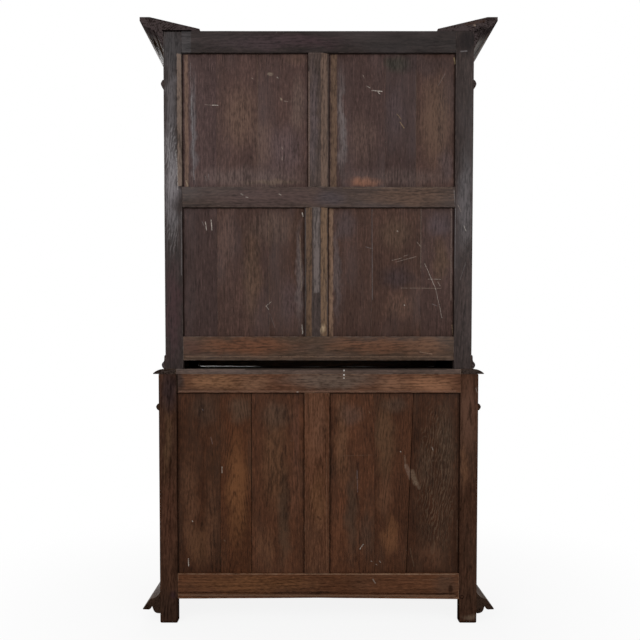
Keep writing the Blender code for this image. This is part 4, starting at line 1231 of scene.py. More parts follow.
@dataclass
class Carcass(Assembly):
    """Posts, side rails, cleats and side panels of both bodies.

    Rails are Z ranges and cleats the Z of their tops. The reveal is how far the side rails stand back from the
    posts, the toe rounds the worn corners of the back feet, the open seat is the gap between the cornice and the
    upper right back post, and the peg is a pixel in the left back foot.
    """

    back: float = 0.285
    post_width: float = 0.071
    post_depth: float = 0.055
    back_post_depth: float = 0.036
    upper_half: float = 0.6125
    lower_half: float = 0.641
    upper_front: float = -0.131
    lower_front: float = -0.215
    upper_foot: float = 1.0303
    upper_top: float = 2.361
    lower_top: float = 1.0097
    reveal: float = 0.0015
    rail_thickness: float = 0.026
    upper_rails: tuple[tuple[float, float], ...] = ((1.0306, 1.1556), (2.131, 2.3595))
    lower_rails: tuple[tuple[float, float], ...] = ((0.102, 0.23), (0.8497, 1.0082))
    cleat_width: float = 0.018
    cleat_height: float = 0.022
    upper_cleats: tuple[float, ...] = (1.383, 1.7, 2.0175)
    lower_cleats: tuple[float, ...] = (0.4897,)
    chamfer: Chamfer = Chamfer(Edge.LOW_X, 0.02, 0.007, (1.766, 2.272))
    peg: Pixel = (461.8, 597.0)
    peg_radius: float = 0.0055
    toe: float = 0.006
    open_seat: float = 0.003

    def build(self) -> None:
        """Build the four sides."""
        for side in Side:
            self._side(side, "upper")
            self._side(side, "lower")
        self._peg()

    def _peg(self) -> None:
        """Drive the one peg that shows in the left back foot."""
        peg = Bench.turn("lower_left_post_peg", SIGHT.on_back(self.peg, self.back), Axis.FRONTWARD,
            [(self.peg_radius, 0.006), (self.peg_radius, -0.0002), (self.peg_radius * 0.8, -0.0006)], 20)
        POLISH.oak(peg, LOWER_FRAME, Grain.UPRIGHT, Look(0.7, -0.1, wear=0.0))
        self.settle(peg, "carcass")

    def _side(self, side: Side, part: str) -> None:
        """Build one side of one body.

        Args:
            side: Which side.
            part: Word for the upper or the lower body.
        """
        upper = part == "upper"
        half = self.upper_half if upper else self.lower_half
        front = self.upper_front if upper else self.lower_front
        foot, top = (self.upper_foot, self.upper_top) if upper else (0.0, self.lower_top)
        node = f"{part}_{side.word}_side_frame"
        x_low, x_high = side.span(half - self.post_width, half)
        finish = UPPER_FRAME if upper else LOWER_FRAME
        chamfers = (self.chamfer,) if upper and side is Side.RIGHT else ()
        self.board(f"{part}_{side.word}_back_post", node, (x_low, self.back - self.back_post_depth, foot),
            (x_high, self.back, top - (self.open_seat if upper and side is Side.RIGHT else 0.0)), finish,
            Grain.UPRIGHT, replace(POST_LOOKS[part, side], flank=side), chamfers, 0.0026,
            toe=0.0 if upper else self.toe)
        self.refined(f"{part}_{side.word}_front_post", node, POLISHED, Grain.UPRIGHT,
            ((0, front + self.post_depth, 0), (0, 1, 0)))
        x_low, x_high = side.span(half - self.reveal - self.rail_thickness, half - self.reveal)
        y_low, y_high = front + self.post_depth, self.back - self.back_post_depth
        for level, (z_low, z_high) in zip(("bottom", "top"), self.upper_rails if upper else self.lower_rails):
            self.board(f"{part}_{side.word}_side_{level}_rail", node, (x_low, y_low, z_low),
                (x_high, y_high, z_high), POLISHED, Grain.DEEP)
        x_low, x_high = side.span(half - self.post_width - self.cleat_width, half - self.post_width)
        for index, cleat_z in enumerate(self.upper_cleats if upper else self.lower_cleats):
            self.board(f"{part}_{side.word}_cleat_{index + 1}", node, (x_low, y_low, cleat_z - self.cleat_height),
                (x_high, y_high, cleat_z), INSIDE, Grain.DEEP, shake=0.0)
        self.refined(f"{part}_{side.word}_side_field", f"{part}_{side.word}_side_panel", POLISHED, Grain.UPRIGHT)


WHITE = (0.45, 0.41, 0.36)
TAN = (0.112, 0.072, 0.048)
GREY = (0.07, 0.063, 0.065)
PALE_GREY = (0.145, 0.134, 0.134)
DARK = (0.016, 0.009, 0.006)
PITCH = (0.002, 0.0015, 0.0012)

POST_LOOKS: dict[tuple[str, Side], Look] = {
    # Upper right post: the grey and pale grey patches and the pale streaks around pixel 170 are a painted sheen, and
    # the dark line at its top is a painted shadow under the cornice.
    ("upper", Side.RIGHT): Look(0.5, 0.1, (0.012, 0.01), 0.05, 1.3, patches=(Patch(171, 110, 7, 90, GREY, 0.55),
        Patch(172, 222, 8, 22, GREY), Patch(171, 182, 9, 46, (0.116, 0.104, 0.109), 0.62),
        Patch(174, 48, 17, 26, (0.026, 0.0232, 0.0235), 0.85),
        Patch(179.2, 120, 3.0, 67, (0.098, 0.07, 0.055), 0.85, Shape.BAND),
        Patch(171, 160, 8, 46, (0.13, 0.122, 0.122), 0.45, Shape.RIPPLE),
        Patch(172, 232, 9, 30, (0.1, 0.09, 0.09), 0.35, Shape.RIPPLE),
        Patch(173, 312, 11, 62, (0.0275, 0.013, 0.0135), 0.75)), marks=(
        Mark(167, 138, 175, 188, 0.0035, PALE_GREY, 0.75, 0.02),
        Mark(176, 150, 178, 190, 0.003, (0.24, 0.22, 0.21), 0.75, 0.008),
        Mark(172, 212, 168, 258, 0.0025, DARK, 0.5, 0.02),
        Mark(181.2, 212, 181.5, 275, 0.003, PALE_GREY, 0.45, 0.002, 0.5),
        Mark(163.0, 30.5, 163.0, 36.0, 0.004, PITCH, 0.9, 0.0, 0.0))),
    # Upper left post: the grey patch round pixel 200 is a painted sheen.
    ("upper", Side.LEFT): Look(0.62, 0.1, (0.01, 0.014), 0.04, 1.2, patches=(Patch(465, 200, 9, 58, GREY, 0.6),
        Patch(467, 42, 15, 16, (0.007, 0.005, 0.005), 0.9), Patch(465, 300, 8, 50, (0.036, 0.024, 0.022))), marks=(
        Mark(461, 51.5, 467, 51, 0.004, PALE_GREY, 0.8), Mark(455.5, 57, 456, 68, 0.003, WHITE, 0.5),
        Mark(464, 226, 466, 231, 0.0025, WHITE, 0.5), Mark(460, 280, 466, 262, 0.0016, PALE_GREY, 0.5),
        Mark(461, 240, 469, 250, 0.002, DARK, 0.6, 0.01), Mark(458, 205, 461, 212, 0.0018),
        Mark(455.2, 209, 454.5, 268, 0.0035, PALE_GREY, 0.7, 0.002, 0.5))),
    # Lower right post: the near-black bands at the foot's inner edge and bottom and the dark patch over the foot are
    # painted shade.
    ("lower", Side.RIGHT): Look(0.57, -0.15, (0.02, 0.02), 0.05, 1.4, 0.05, patches=(
        Patch(177.0, 610, 1.2, 13, NEAR_BLACK, 0.95, Shape.BAND, 0.001),
        Patch(168, 621.6, 10, 1.2, NEAR_BLACK, 0.8, Shape.BAND, 0.003),
        Patch(169, 608, 14, 24, (0.021, 0.0115, 0.0078), 0.75), Patch(174, 593, 5, 5, (0.02, 0.01, 0.011), 0.7),
        Patch(169, 390, 11, 26, (0.02, 0.0125, 0.0125), 0.8), Patch(167, 450, 5, 50, (0.06, 0.034, 0.018), 0.4),
        Patch(168, 512, 11, 54, (0.046, 0.0195, 0.0118), 0.55))),
    # Lower left post: the near-black bands at the foot's inner edge and bottom and the dark patch over the foot are
    # painted shade.
    ("lower", Side.LEFT): Look(0.585, -0.1, (0.01, 0.02), 0.05, 1.4, 0.05, patches=(
        Patch(458.4, 611, 1.2, 12, NEAR_BLACK, 0.95, Shape.BAND, 0.001),
        Patch(467, 621.6, 10, 1.0, NEAR_BLACK, 0.8, Shape.BAND, 0.003),
        Patch(468, 600, 12, 20, (0.029, 0.015, 0.0095), 0.6), Patch(469, 616, 8, 4, (0.09, 0.062, 0.042), 0.6),
        Patch(464, 465, 4, 30, (0.1, 0.048, 0.026), 0.4), Patch(467, 415, 11, 42, (0.064, 0.033, 0.022), 0.6)),
        marks=(Mark(476, 388, 477, 392, 0.0025, WHITE, 0.4),
        Mark(461.8, 597.0, 461.8, 597.2, 0.01, PITCH, 0.85, 0.0, 0.0))),
}


@dataclass
class FramedBack(Assembly):
    """What both backs have in common: frame, recessed panels and how far they lap into grooves."""

    back: float = 0.285
    thickness: float = 0.03
    recess: float = 0.01
    panel: float = 0.01
    lap: float = 0.004

    def field(self, x_range: tuple[float, float], z_range: tuple[float, float]) -> tuple[Point, Point]:
        """The box whose sides and top are darkened with dirt and painted recess shade, open below."""
        y_high = self.back - self.recess
        return ((x_range[0], y_high - self.panel, z_range[0] - BEYOND), (x_range[1], y_high, z_range[1]))


@dataclass
class UpperBack(FramedBack):
    """Rails, muntins and panels of the upper back.

    Rails are Z ranges, muntins X ranges, the end is half the length of a rail, and the joint is the gap between
    two boards of a panel.
    """

    end: float = 0.5412
    rails: tuple[tuple[float, float], ...] = ((1.065, 1.16), (1.673, 1.753), (2.277, 2.361))
    top_muntin: tuple[float, float] = (-0.04, 0.04)
    bottom_muntin: tuple[float, float] = (-0.0375, 0.0555)
    chamfer_width: float = 0.027
    chamfer_depth: float = 0.007
    bevel_width: float = 0.027
    bevel_depth: float = 0.005
    joint: float = 0.0004

    def build(self) -> None:
        """Build rails, muntins and the boards of the panels."""
        y_low = self.back - self.thickness
        for level, (z_low, z_high) in zip(("bottom", "middle", "top"), self.rails):
            self.board(f"upper_back_{level}_rail_board", f"upper_back_{level}_rail", (-self.end, y_low, z_low),
                (self.end, self.back, z_high), UPPER_FRAME, Grain.ACROSS, RAIL_LOOKS["upper", level])
        low_edge = Chamfer(Edge.LOW_X, self.chamfer_width, self.chamfer_depth)
        high_edge = Chamfer(Edge.HIGH_X, self.chamfer_width, self.chamfer_depth)
        for row, (x_low, x_high), below, above, chamfers in (("top", self.top_muntin, 1, 2, (low_edge,)),
                ("bottom", self.bottom_muntin, 0, 1, (low_edge, high_edge))):
            z_low, z_high = self.rails[below][1], self.rails[above][0]
            self.board(f"upper_back_{row}_muntin_board", f"upper_back_{row}_muntin", (x_low, y_low, z_low + SLACK),
                (x_high, self.back, z_high - SLACK), UPPER_FRAME, Grain.UPRIGHT, MUNTIN_LOOKS["upper", row],
                chamfers)
            self._panel(f"upper_back_panel_{row}_left", (-self.end, x_low), (z_low, z_high))
            self._panel(f"upper_back_panel_{row}_right", (x_high, self.end), (z_low, z_high))

    def _panel(self, node: str, x_range: tuple[float, float], z_range: tuple[float, float]) -> None:
        """Build the boards of one panel.

        Args:
            node: The CAD node of the panel.
            x_range: X range of its field.
            z_range: Z range of its field.
        """
        y_high = self.back - self.recess
        spec = UPPER_PANELS[node]
        joints = [SIGHT.on_back((pixel, 200.0), y_high)[0] for pixel in spec.joints]
        edges = sorted([x_range[0] - self.lap, *joints, x_range[1] + self.lap])
        for index, (x_low, x_high) in enumerate(zip(edges, edges[1:])):
            chamfers = [Chamfer(edge, self.bevel_width + self.lap, self.bevel_depth) for edge in spec.bevels
                if (index == 0) == (edge is Edge.LOW_X) and index in (0, len(edges) - 2)]
            # The panel's box darkens the top and sides of each board with dirt and painted recess shade.
            look = replace(spec.looks[index], wear=0.3, grime=self.field(x_range, z_range), patches=spec.patches,
                marks=spec.marks)
            self.board(f"{node}_board_{index + 1}", node,
                (x_low + self.joint / 2, y_high - self.panel, z_range[0] - self.lap),
                (x_high - self.joint / 2, y_high, z_range[1] + self.lap), UPPER_PANEL, Grain.UPRIGHT, look,
                chamfers, 0.0006, shake=0.0002)


@dataclass(frozen=True)
class PanelSpec:
    """The X pixels of a back panel's joints, and how its boards look, from low X to high X."""

    joints: tuple[float, ...]
    looks: tuple[Look, ...]
    bevels: tuple[Edge, ...] = ()
    patches: tuple[Patch, ...] = ()
    marks: tuple[Mark, ...] = ()


RAIL_LOOKS: dict[tuple[str, str], Look] = {
    # Top rail: the dark line along its top, under the cornice end, is a painted shadow.
    ("upper", "top"): Look(0.42, 0.1, wear=0.6, patches=(Patch(290, 42, 70, 9, (0.027, 0.015, 0.017), 0.7),
        Patch(250, 42, 60, 10, (0.03, 0.021, 0.022)),
        Patch(186.0, 41, 5.5, 14, (0.032, 0.0285, 0.029), 0.75, Shape.BAND),
        Patch(405, 43, 62, 11, (0.016, 0.013, 0.0125), 0.65)), marks=(
        Mark(180.5, 31.2, 191.0, 31.1, 0.003, PITCH, 0.95, 0.0, 0.0),)),
    ("upper", "middle"): Look(0.9, 0.4, wear=1.3, patches=(Patch(270, 197, 80, 12, (0.042, 0.0262, 0.024), 0.7),
        Patch(330, 198, 18, 12, (0.036, 0.029, 0.032), 0.6), Patch(410, 197, 58, 12, (0.06, 0.035, 0.024), 0.7)),
        marks=(Mark(454, 190, 455, 206, 0.003, PALE_GREY), Mark(241, 194, 243, 195, 0.003, WHITE, 0.4),
        Mark(246, 197, 248, 197.5, 0.003, WHITE, 0.4), Mark(279, 194, 281, 195, 0.003, WHITE, 0.4),
        Mark(343, 188.2, 452, 188.2, 0.0035, (0.13, 0.085, 0.06), 0.5, 0.004))),
    ("upper", "bottom"): Look(0.88, 1.0, wear=1.4, patches=(Patch(245, 346, 66, 12, (0.074, 0.029, 0.014), 0.8),
        Patch(375, 345, 60, 11, (0.076, 0.032, 0.016), 0.7), Patch(190, 346, 16, 14, (0.036, 0.0165, 0.012), 0.7),
        Patch(319, 345, 12, 12, (0.04, 0.024, 0.016), 0.6), Patch(425, 346, 24, 12, (0.086, 0.042, 0.024), 0.7)),
        marks=(Mark(186, 356.6, 450, 356.8, 0.004, (0.15, 0.095, 0.065), 0.55, 0.004),
        Mark(420, 352, 432, 354, 0.003, (0.23, 0.15, 0.11)), Mark(335, 350, 338, 351, 0.003, DARK, 0.8),
        Mark(350, 349, 356, 349, 0.004, DARK))),
    ("lower", "top"): Look(1.1, -0.05, wear=1.2, patches=(Patch(215, 383, 38, 11, (0.128, 0.064, 0.034), 0.75),
        Patch(428, 384, 32, 10, (0.136, 0.066, 0.037), 0.8), Patch(254, 383, 20, 12, (0.112, 0.06, 0.036), 0.6),
        Patch(393, 384, 18, 11, (0.122, 0.062, 0.037), 0.65), Patch(330, 380, 60, 12, (0.066, 0.05, 0.04), 0.7),
        Patch(178, 382, 5, 14, (0.022, 0.0165, 0.015), 0.8)), marks=(
        Mark(179, 391.2, 456, 391.2, 0.0034, (0.17, 0.098, 0.07), 0.6, 0.002, 0.5),
        Mark(344, 371, 344, 371.4, 0.0042, (0.7, 0.68, 0.64), 0.95, 0.0),
        Mark(344, 374.6, 344, 375, 0.0042, (0.7, 0.68, 0.64), 0.95, 0.0),
        Mark(344, 378, 344, 378.3, 0.0034, (0.6, 0.56, 0.5), 0.85, 0.0),
        Mark(297, 392, 298, 392, 0.0025, WHITE, 0.8, 0.0), Mark(312, 393, 321, 393, 0.0025, WHITE, 0.5, 0.002),
        Mark(176.9, 371, 177.2, 393, 0.004, PITCH, 0.8, 0.001, 0.0), Mark(452, 389, 452.5, 390, 0.004, DARK, 0.8),
        Mark(250, 381, 262, 368, 0.002, DARK, 0.4))),
    ("lower", "bottom"): Look(1.0, 0.5, wear=2.2, patches=(Patch(255, 584, 76, 11, (0.092, 0.041, 0.018), 0.55),
        Patch(360, 584, 20, 11, (0.054, 0.025, 0.014)), Patch(446, 584, 16, 13, (0.042, 0.024, 0.016), 0.65)),
        marks=(Mark(180, 573.6, 455, 574.2, 0.0042, (0.2, 0.13, 0.085), 0.75, 0.002),
        Mark(450.5, 587, 450.5, 590.5, 0.012, NEAR_BLACK, 0.8, 0.004, 0.3),
        Mark(373, 579, 375, 583, 0.004, (0.24, 0.21, 0.18), 0.6, 0.006),
        Mark(178, 592.4, 455, 593.8, 0.0055, PITCH, 0.75),
        Mark(178, 595.0, 455, 596.0, 0.0055, (0.15, 0.094, 0.06), 0.75, 0.002),
        Mark(422, 580, 450, 578.5, 0.0018, TAN, 0.5))),
}

MUNTIN_LOOKS: dict[tuple[str, str], Look] = {
    ("upper", "top"): Look(0.98, 0.3, wear=1.3, patches=(Patch(314, 120, 5, 70, (0.057, 0.042, 0.043), 0.6),
        Patch(324.2, 120, 3.8, 70, (0.078, 0.05, 0.037), 0.85, Shape.BAND)), marks=(
        Mark(308.6, 72, 308.7, 186, 0.004, (0.21, 0.14, 0.11), 0.7, 0.002, 0.5),)),
    ("upper", "bottom"): Look(0.8, 0.2, wear=1.3, patches=(
        Patch(316.5, 250, 4.0, 44, (0.084, 0.068, 0.063), 0.75, Shape.BAND, 0.008),
        Patch(309, 272, 3.3, 70, (0.066, 0.038, 0.022), 0.8, Shape.BAND),
        Patch(324, 272, 3.6, 70, (0.09, 0.054, 0.032), 0.85, Shape.BAND),
        Patch(324, 328, 4.0, 6, (0.26, 0.19, 0.12), 0.7))),
    ("lower", "only"): Look(0.95, 0.2, (0.012, 0.02), 0.05, 1.2, patches=(
        Patch(318, 500, 10, 34, (0.1, 0.048, 0.022), 0.3), Patch(317, 425, 12, 42, (0.086, 0.041, 0.024), 0.55)),
        marks=(Mark(318, 517, 320.5, 519, 0.007, DARK, 0.8, 0.006),
        Mark(326.5, 455, 327, 570, 0.0025, (0.13, 0.074, 0.045), 0.5, 0.004),
        Mark(322, 406, 323, 409, 0.004, DARK))),
}

UPPER_PANELS: dict[str, PanelSpec] = {
    "upper_back_panel_top_right": PanelSpec((217.0, 257.6), (Look(0.88, 0.1), Look(0.86, 0.1), Look(0.88, -0.2)),
        (Edge.HIGH_X,), (Patch(194, 130, 5, 64, GREY, 0.65),
        Patch(186.4, 120, 2.9, 70, (0.09, 0.055, 0.04), 0.8, Shape.BAND),
        Patch(240, 118, 22, 38, (0.084, 0.05, 0.036), 0.6), Patch(262, 145, 14, 30, (0.074, 0.046, 0.036)),
        Patch(248, 178, 66, 14, (0.084, 0.06, 0.054)), Patch(298, 104, 10, 34, (0.082, 0.056, 0.046)),
        Patch(285, 150, 24, 30, (0.062, 0.043, 0.044)), Patch(272, 182, 34, 3.5, (0.1, 0.07, 0.05), 0.45),
        Patch(297, 58, 14, 7, (0.07, 0.041, 0.03), 0.45)), (Mark(205, 104.6, 211, 105, 0.0016),
        Mark(212, 105, 218, 105.3, 0.0024, WHITE, 0.7),
        Mark(269, 74, 271.5, 74.5, 0.009, (0.18, 0.14, 0.105), 0.65, 0.01, 0.6),
        Mark(277, 77, 278, 78, 0.0028, WHITE, 0.5),
        Mark(280.5, 98.5, 281.5, 100, 0.0055, (0.24, 0.19, 0.14), 0.8, 0.008), Mark(284, 101, 288, 101.5, 0.0018),
        Mark(282, 147, 282.5, 149, 0.0026), Mark(282, 157, 282, 160, 0.0026), Mark(252, 78, 253, 79, 0.0024),
        Mark(205, 176, 206.5, 181, 0.002, PALE_GREY), Mark(208.5, 174, 209, 180, 0.002, PALE_GREY),
        Mark(186, 181, 187.5, 186, 0.0055, (0.26, 0.2, 0.14), 0.8, 0.006),
        Mark(191.5, 95, 194, 180, 0.0022, (0.2, 0.19, 0.19), 0.6, 0.01),
        Mark(190, 62, 192, 120, 0.0018, PALE_GREY, 0.5, 0.01), Mark(257.6, 60, 257.6, 165, 0.0014, TAN, 0.5))),
    "upper_back_panel_top_left": PanelSpec((385.0, 416.0), (Look(0.78, 0.3), Look(0.66), Look(0.76)),
        (Edge.HIGH_X,), (Patch(341.5, 125, 4.5, 64, (0.084, 0.07, 0.068), 0.65),
        Patch(333.8, 120, 3.6, 70, (0.07, 0.043, 0.028), 0.8, Shape.BAND),
        Patch(397, 64, 14, 12, (0.024, 0.024, 0.017), 0.8), Patch(366, 182, 20, 6, (0.15, 0.066, 0.038), 0.75),
        Patch(436, 120, 20, 55, (0.066, 0.04, 0.027), 0.6), Patch(362, 140, 18, 30, (0.068, 0.042, 0.034)),
        Patch(395, 110, 12, 30, (0.042, 0.029, 0.03)), Patch(445, 165, 8, 20, (0.056, 0.04, 0.04)),
        Patch(400, 178, 62, 12, (0.076, 0.053, 0.047), 0.4), Patch(422, 64, 40, 15, (0.024, 0.017, 0.017), 0.45)),
        (Mark(363, 75, 364, 78, 0.0026), Mark(366.5, 86, 370, 88, 0.0022, WHITE, 0.45),
        Mark(372, 90.5, 382, 91.5, 0.003, WHITE, 0.75, 0.005), Mark(378, 92, 380, 94, 0.0026, WHITE),
        Mark(397, 114, 401, 119, 0.003, (0.16, 0.11, 0.06), 0.7),
        Mark(400, 122, 404, 128, 0.003, (0.2, 0.14, 0.08), 0.8), Mark(445, 74, 438, 86, 0.0016, PALE_GREY, 0.5),
        Mark(454, 58, 455, 64, 0.004, (0.3, 0.22, 0.12), 0.8, 0.004), Mark(416, 70, 416, 184, 0.0014, TAN, 0.5),
        Mark(343, 100, 344, 150, 0.002, PALE_GREY, 0.5, 0.008))),
    "upper_back_panel_bottom_right": PanelSpec((217.0, 269.0), (Look(0.645, 0.6), Look(0.72, 0.35), Look(0.66)),
        (Edge.LOW_X,), (Patch(299, 275, 4, 60, (0.078, 0.064, 0.062)),
        Patch(252, 272, 12, 55, (0.066, 0.038, 0.024), 0.6), Patch(226, 240, 12, 40, (0.062, 0.037, 0.03)),
        Patch(272, 228, 30, 20, (0.076, 0.05, 0.039), 0.4), Patch(290, 300, 12, 30, (0.05, 0.033, 0.033))),
        (Mark(202, 221, 204, 226, 0.0022, PALE_GREY), Mark(205.5, 222, 206.5, 230, 0.0026, WHITE, 0.65),
        Mark(211, 220, 212, 230, 0.0028, WHITE, 0.75), Mark(266, 306, 271, 302, 0.0018, WHITE, 0.5),
        Mark(266, 306, 269, 310, 0.0018, WHITE, 0.5), Mark(269.5, 313, 275, 328, 0.0014, PALE_GREY, 0.45),
        Mark(302.2, 213, 303, 216, 0.004, WHITE, 0.7),
        Mark(300, 235, 301.5, 290, 0.003, (0.17, 0.125, 0.09), 0.6, 0.008),
        Mark(302, 325, 302.5, 334, 0.0034, WHITE, 0.6, 0.006), Mark(268.5, 220, 269, 300, 0.0014, TAN, 0.5))),
    "upper_back_panel_bottom_left": PanelSpec((372.0, 421.0), (Look(0.74, 0.2), Look(0.685, 0.55), Look(0.67, 0.5)),
        (Edge.HIGH_X,), (Patch(336.5, 270, 4.5, 60, (0.064, 0.051, 0.05)),
        Patch(331, 272, 2.6, 70, (0.112, 0.068, 0.045), 0.8, Shape.BAND),
        Patch(345, 225, 14, 18, (0.038, 0.028, 0.029), 0.6), Patch(397, 278, 20, 14, (0.028, 0.018, 0.018), 0.75),
        Patch(440, 225, 18, 14, (0.046, 0.034, 0.037), 0.6), Patch(395, 235, 20, 22, (0.056, 0.035, 0.023), 0.45),
        Patch(400, 305, 20, 16, (0.07, 0.038, 0.026)), Patch(440, 260, 10, 26, (0.06, 0.036, 0.022))),
        (Mark(392, 260.5, 402, 258, 0.0018), Mark(396, 262, 416, 256.5, 0.0018), Mark(404, 256, 408, 255, 0.0016),
        Mark(425, 264, 436, 290, 0.0016, WHITE, 0.6, 0.004), Mark(436, 290, 442, 318, 0.0014, WHITE, 0.45, 0.004),
        Mark(401, 288, 441, 288.3, 0.0014, (0.22, 0.18, 0.14), 0.65, 0.001),
        Mark(428, 279, 441, 279.3, 0.0014, WHITE, 0.45, 0.001), Mark(438, 282, 440, 286, 0.0024),
        Mark(397.3, 231, 397.7, 231.4, 0.003, WHITE, 0.85, 0.0), Mark(417, 242, 421, 247, 0.0022),
        Mark(404.3, 305, 404.7, 305.4, 0.003, WHITE, 0.75, 0.0), Mark(432, 304, 437, 306, 0.0018, PALE_GREY),
        Mark(421, 209, 420.7, 268, 0.002, (0.17, 0.135, 0.11), 0.6, 0.003, 0.5),
        Mark(372, 209, 372.5, 300, 0.0018, PALE_GREY, 0.5, 0.003, 0.5),
        Mark(366, 247, 372, 248.5, 0.002, PALE_GREY),
        Mark(451.4, 208, 450.9, 300, 0.0032, (0.15, 0.11, 0.092), 0.6, 0.002, 0.5),
        Mark(452, 325, 453, 335, 0.003, (0.22, 0.15, 0.09), 0.7))),
}


@dataclass
class LowerBack(FramedBack):
    """Rails, muntin and plank panels of the lower back.

    Edges are the X of the joints at the bottom and gaps their widths. The lean is how far the slanted joint moves
    up to the top, the hollow how far the ends of the bottom rail hang below its middle.
    """

    end: float = 0.5697
    rails: tuple[tuple[float, float], ...] = ((0.102, 0.202), (0.935, 1.0097))
    muntin: tuple[float, float] = (-0.044, 0.056)
    right_edges: tuple[float, ...] = (0.2698, 0.397)
    left_edges: tuple[float, ...] = (-0.3566, -0.2263)
    lean: float = -0.026
    right_gaps: tuple[float, ...] = (0.0023, 0.0008)
    left_gaps: tuple[float, ...] = (0.0022, 0.0004)
    hollow: tuple[float, float] = (0.0052, 0.0034)

    def build(self) -> None:
        """Build rails, muntin and planks."""
        y_low = self.back - self.thickness
        for level, (z_low, z_high) in zip(("bottom", "top"), self.rails):
            self.board(f"lower_back_{level}_rail_board", f"lower_back_{level}_rail", (-self.end, y_low, z_low),
                (self.end, self.back, z_high), LOWER_FRAME, Grain.ACROSS, RAIL_LOOKS["lower", level],
                **({"arris": 0.0028, "hollow": self.hollow} if level == "bottom" else {}))
        z_low, z_high = self.rails[0][1], self.rails[1][0]
        self.board("lower_back_muntin_board", "lower_back_muntin", (self.muntin[0], y_low, z_low + SLACK),
            (self.muntin[1], self.back, z_high - SLACK), LOWER_FRAME, Grain.UPRIGHT, MUNTIN_LOOKS["lower", "only"],
            arris=0.0022)
        self._planks("lower_back_panel_right", (self.muntin[1], *self.right_edges, self.end), self.right_gaps,
            RIGHT_PLANKS, None)
        self._planks("lower_back_panel_left", (-self.end, *self.left_edges, self.muntin[0]), self.left_gaps,
            LEFT_PLANKS, 1)

    def _planks(self, node: str, edges: tuple[float, ...], gaps: tuple[float, ...], looks: tuple[Look, ...],
            slanted: int | None) -> None:
        """Build the planks of one panel.

        Args:
            node: The CAD node of the panel.
            edges: X of its sides and joints.
            gaps: Width of each joint.
            looks: Look of each plank, from low X to high X.
            slanted: Number of the joint that is out of plumb.
        """
        y_high = self.back - self.recess
        z_low, z_high = self.rails[0][1], self.rails[1][0]
        # This box darkens the top and sides of the planks with dirt and painted recess shade.
        field = self.field((edges[0], edges[-1]), (z_low, z_high))
        for index, look in enumerate(looks):
            x_low = edges[index] + (gaps[index - 1] / 2 if index else -self.lap)
            x_high = edges[index + 1] - (gaps[index] / 2 if index < len(gaps) else -self.lap)
            lean = (self.lean if slanted == index else 0.0, self.lean if slanted == index + 1 else 0.0)
            self.board(f"{node}_plank_{index + 1}", node, (x_low, y_high - self.panel, z_low - self.lap),
                (x_high, y_high, z_high + self.lap), LOWER_PANEL, Grain.UPRIGHT,
                replace(look, wear=0.5, grime=field), arris=0.0009, lean=lean)


RIGHT_PLANKS: tuple[Look, ...] = (
    Look(1.1, 0.15, (0.02, 0.05), 0.05, 0.8, patches=(Patch(275, 460, 16, 60, (0.074, 0.036, 0.018), 0.55),
        Patch(284, 520, 9, 60, (0.028, 0.019, 0.012), 0.55), Patch(275, 415, 20, 18, (0.044, 0.027, 0.018), 0.6),
        Patch(296, 430, 5, 60, (0.06, 0.026, 0.016)), Patch(295, 490, 8, 32, (0.078, 0.033, 0.018), 0.45),
        Patch(266, 545, 12, 20, (0.076, 0.034, 0.017))), marks=(Mark(280, 464, 282, 470, 0.003, DARK, 0.5, 0.01),
        Mark(290, 440, 292, 441, 0.002, TAN, 0.5))),
    Look(0.78, 0.5, (0.0, 0.025), 0.11, 1.6, patches=(Patch(237, 490, 13, 66, (0.096, 0.04, 0.016), 0.6),
        Patch(240, 410, 14, 16, (0.046, 0.028, 0.018), 0.6)), marks=(Mark(222, 467, 222, 473, 0.0024, WHITE),
        Mark(224, 540, 225, 541, 0.0036, TAN, 0.7), Mark(221, 540, 221, 566, 0.0045, DARK, 0.6, 0.01),
        Mark(220.4, 395, 220.6, 566, 0.0018, DARK, 0.4, 0.004))),
    Look(0.66, 0.3, (0.03, 0.05), 0.05, patches=(Patch(190, 500, 10, 60, (0.07, 0.032, 0.017)),
        Patch(205, 410, 14, 20, (0.036, 0.022, 0.015)), Patch(211, 525, 9, 52, (0.074, 0.034, 0.018), 0.45),
        Patch(198, 545, 14, 24, (0.068, 0.032, 0.016))), marks=(Mark(211, 437, 212.5, 444, 0.0018, PALE_GREY, 0.5),
        Mark(192.3, 521, 192.7, 521.4, 0.003, WHITE, 0.7, 0.0), Mark(188.3, 559, 188.6, 566, 0.0028, WHITE, 0.8),
        Mark(202, 409, 203, 410, 0.0026, PALE_GREY))),
)

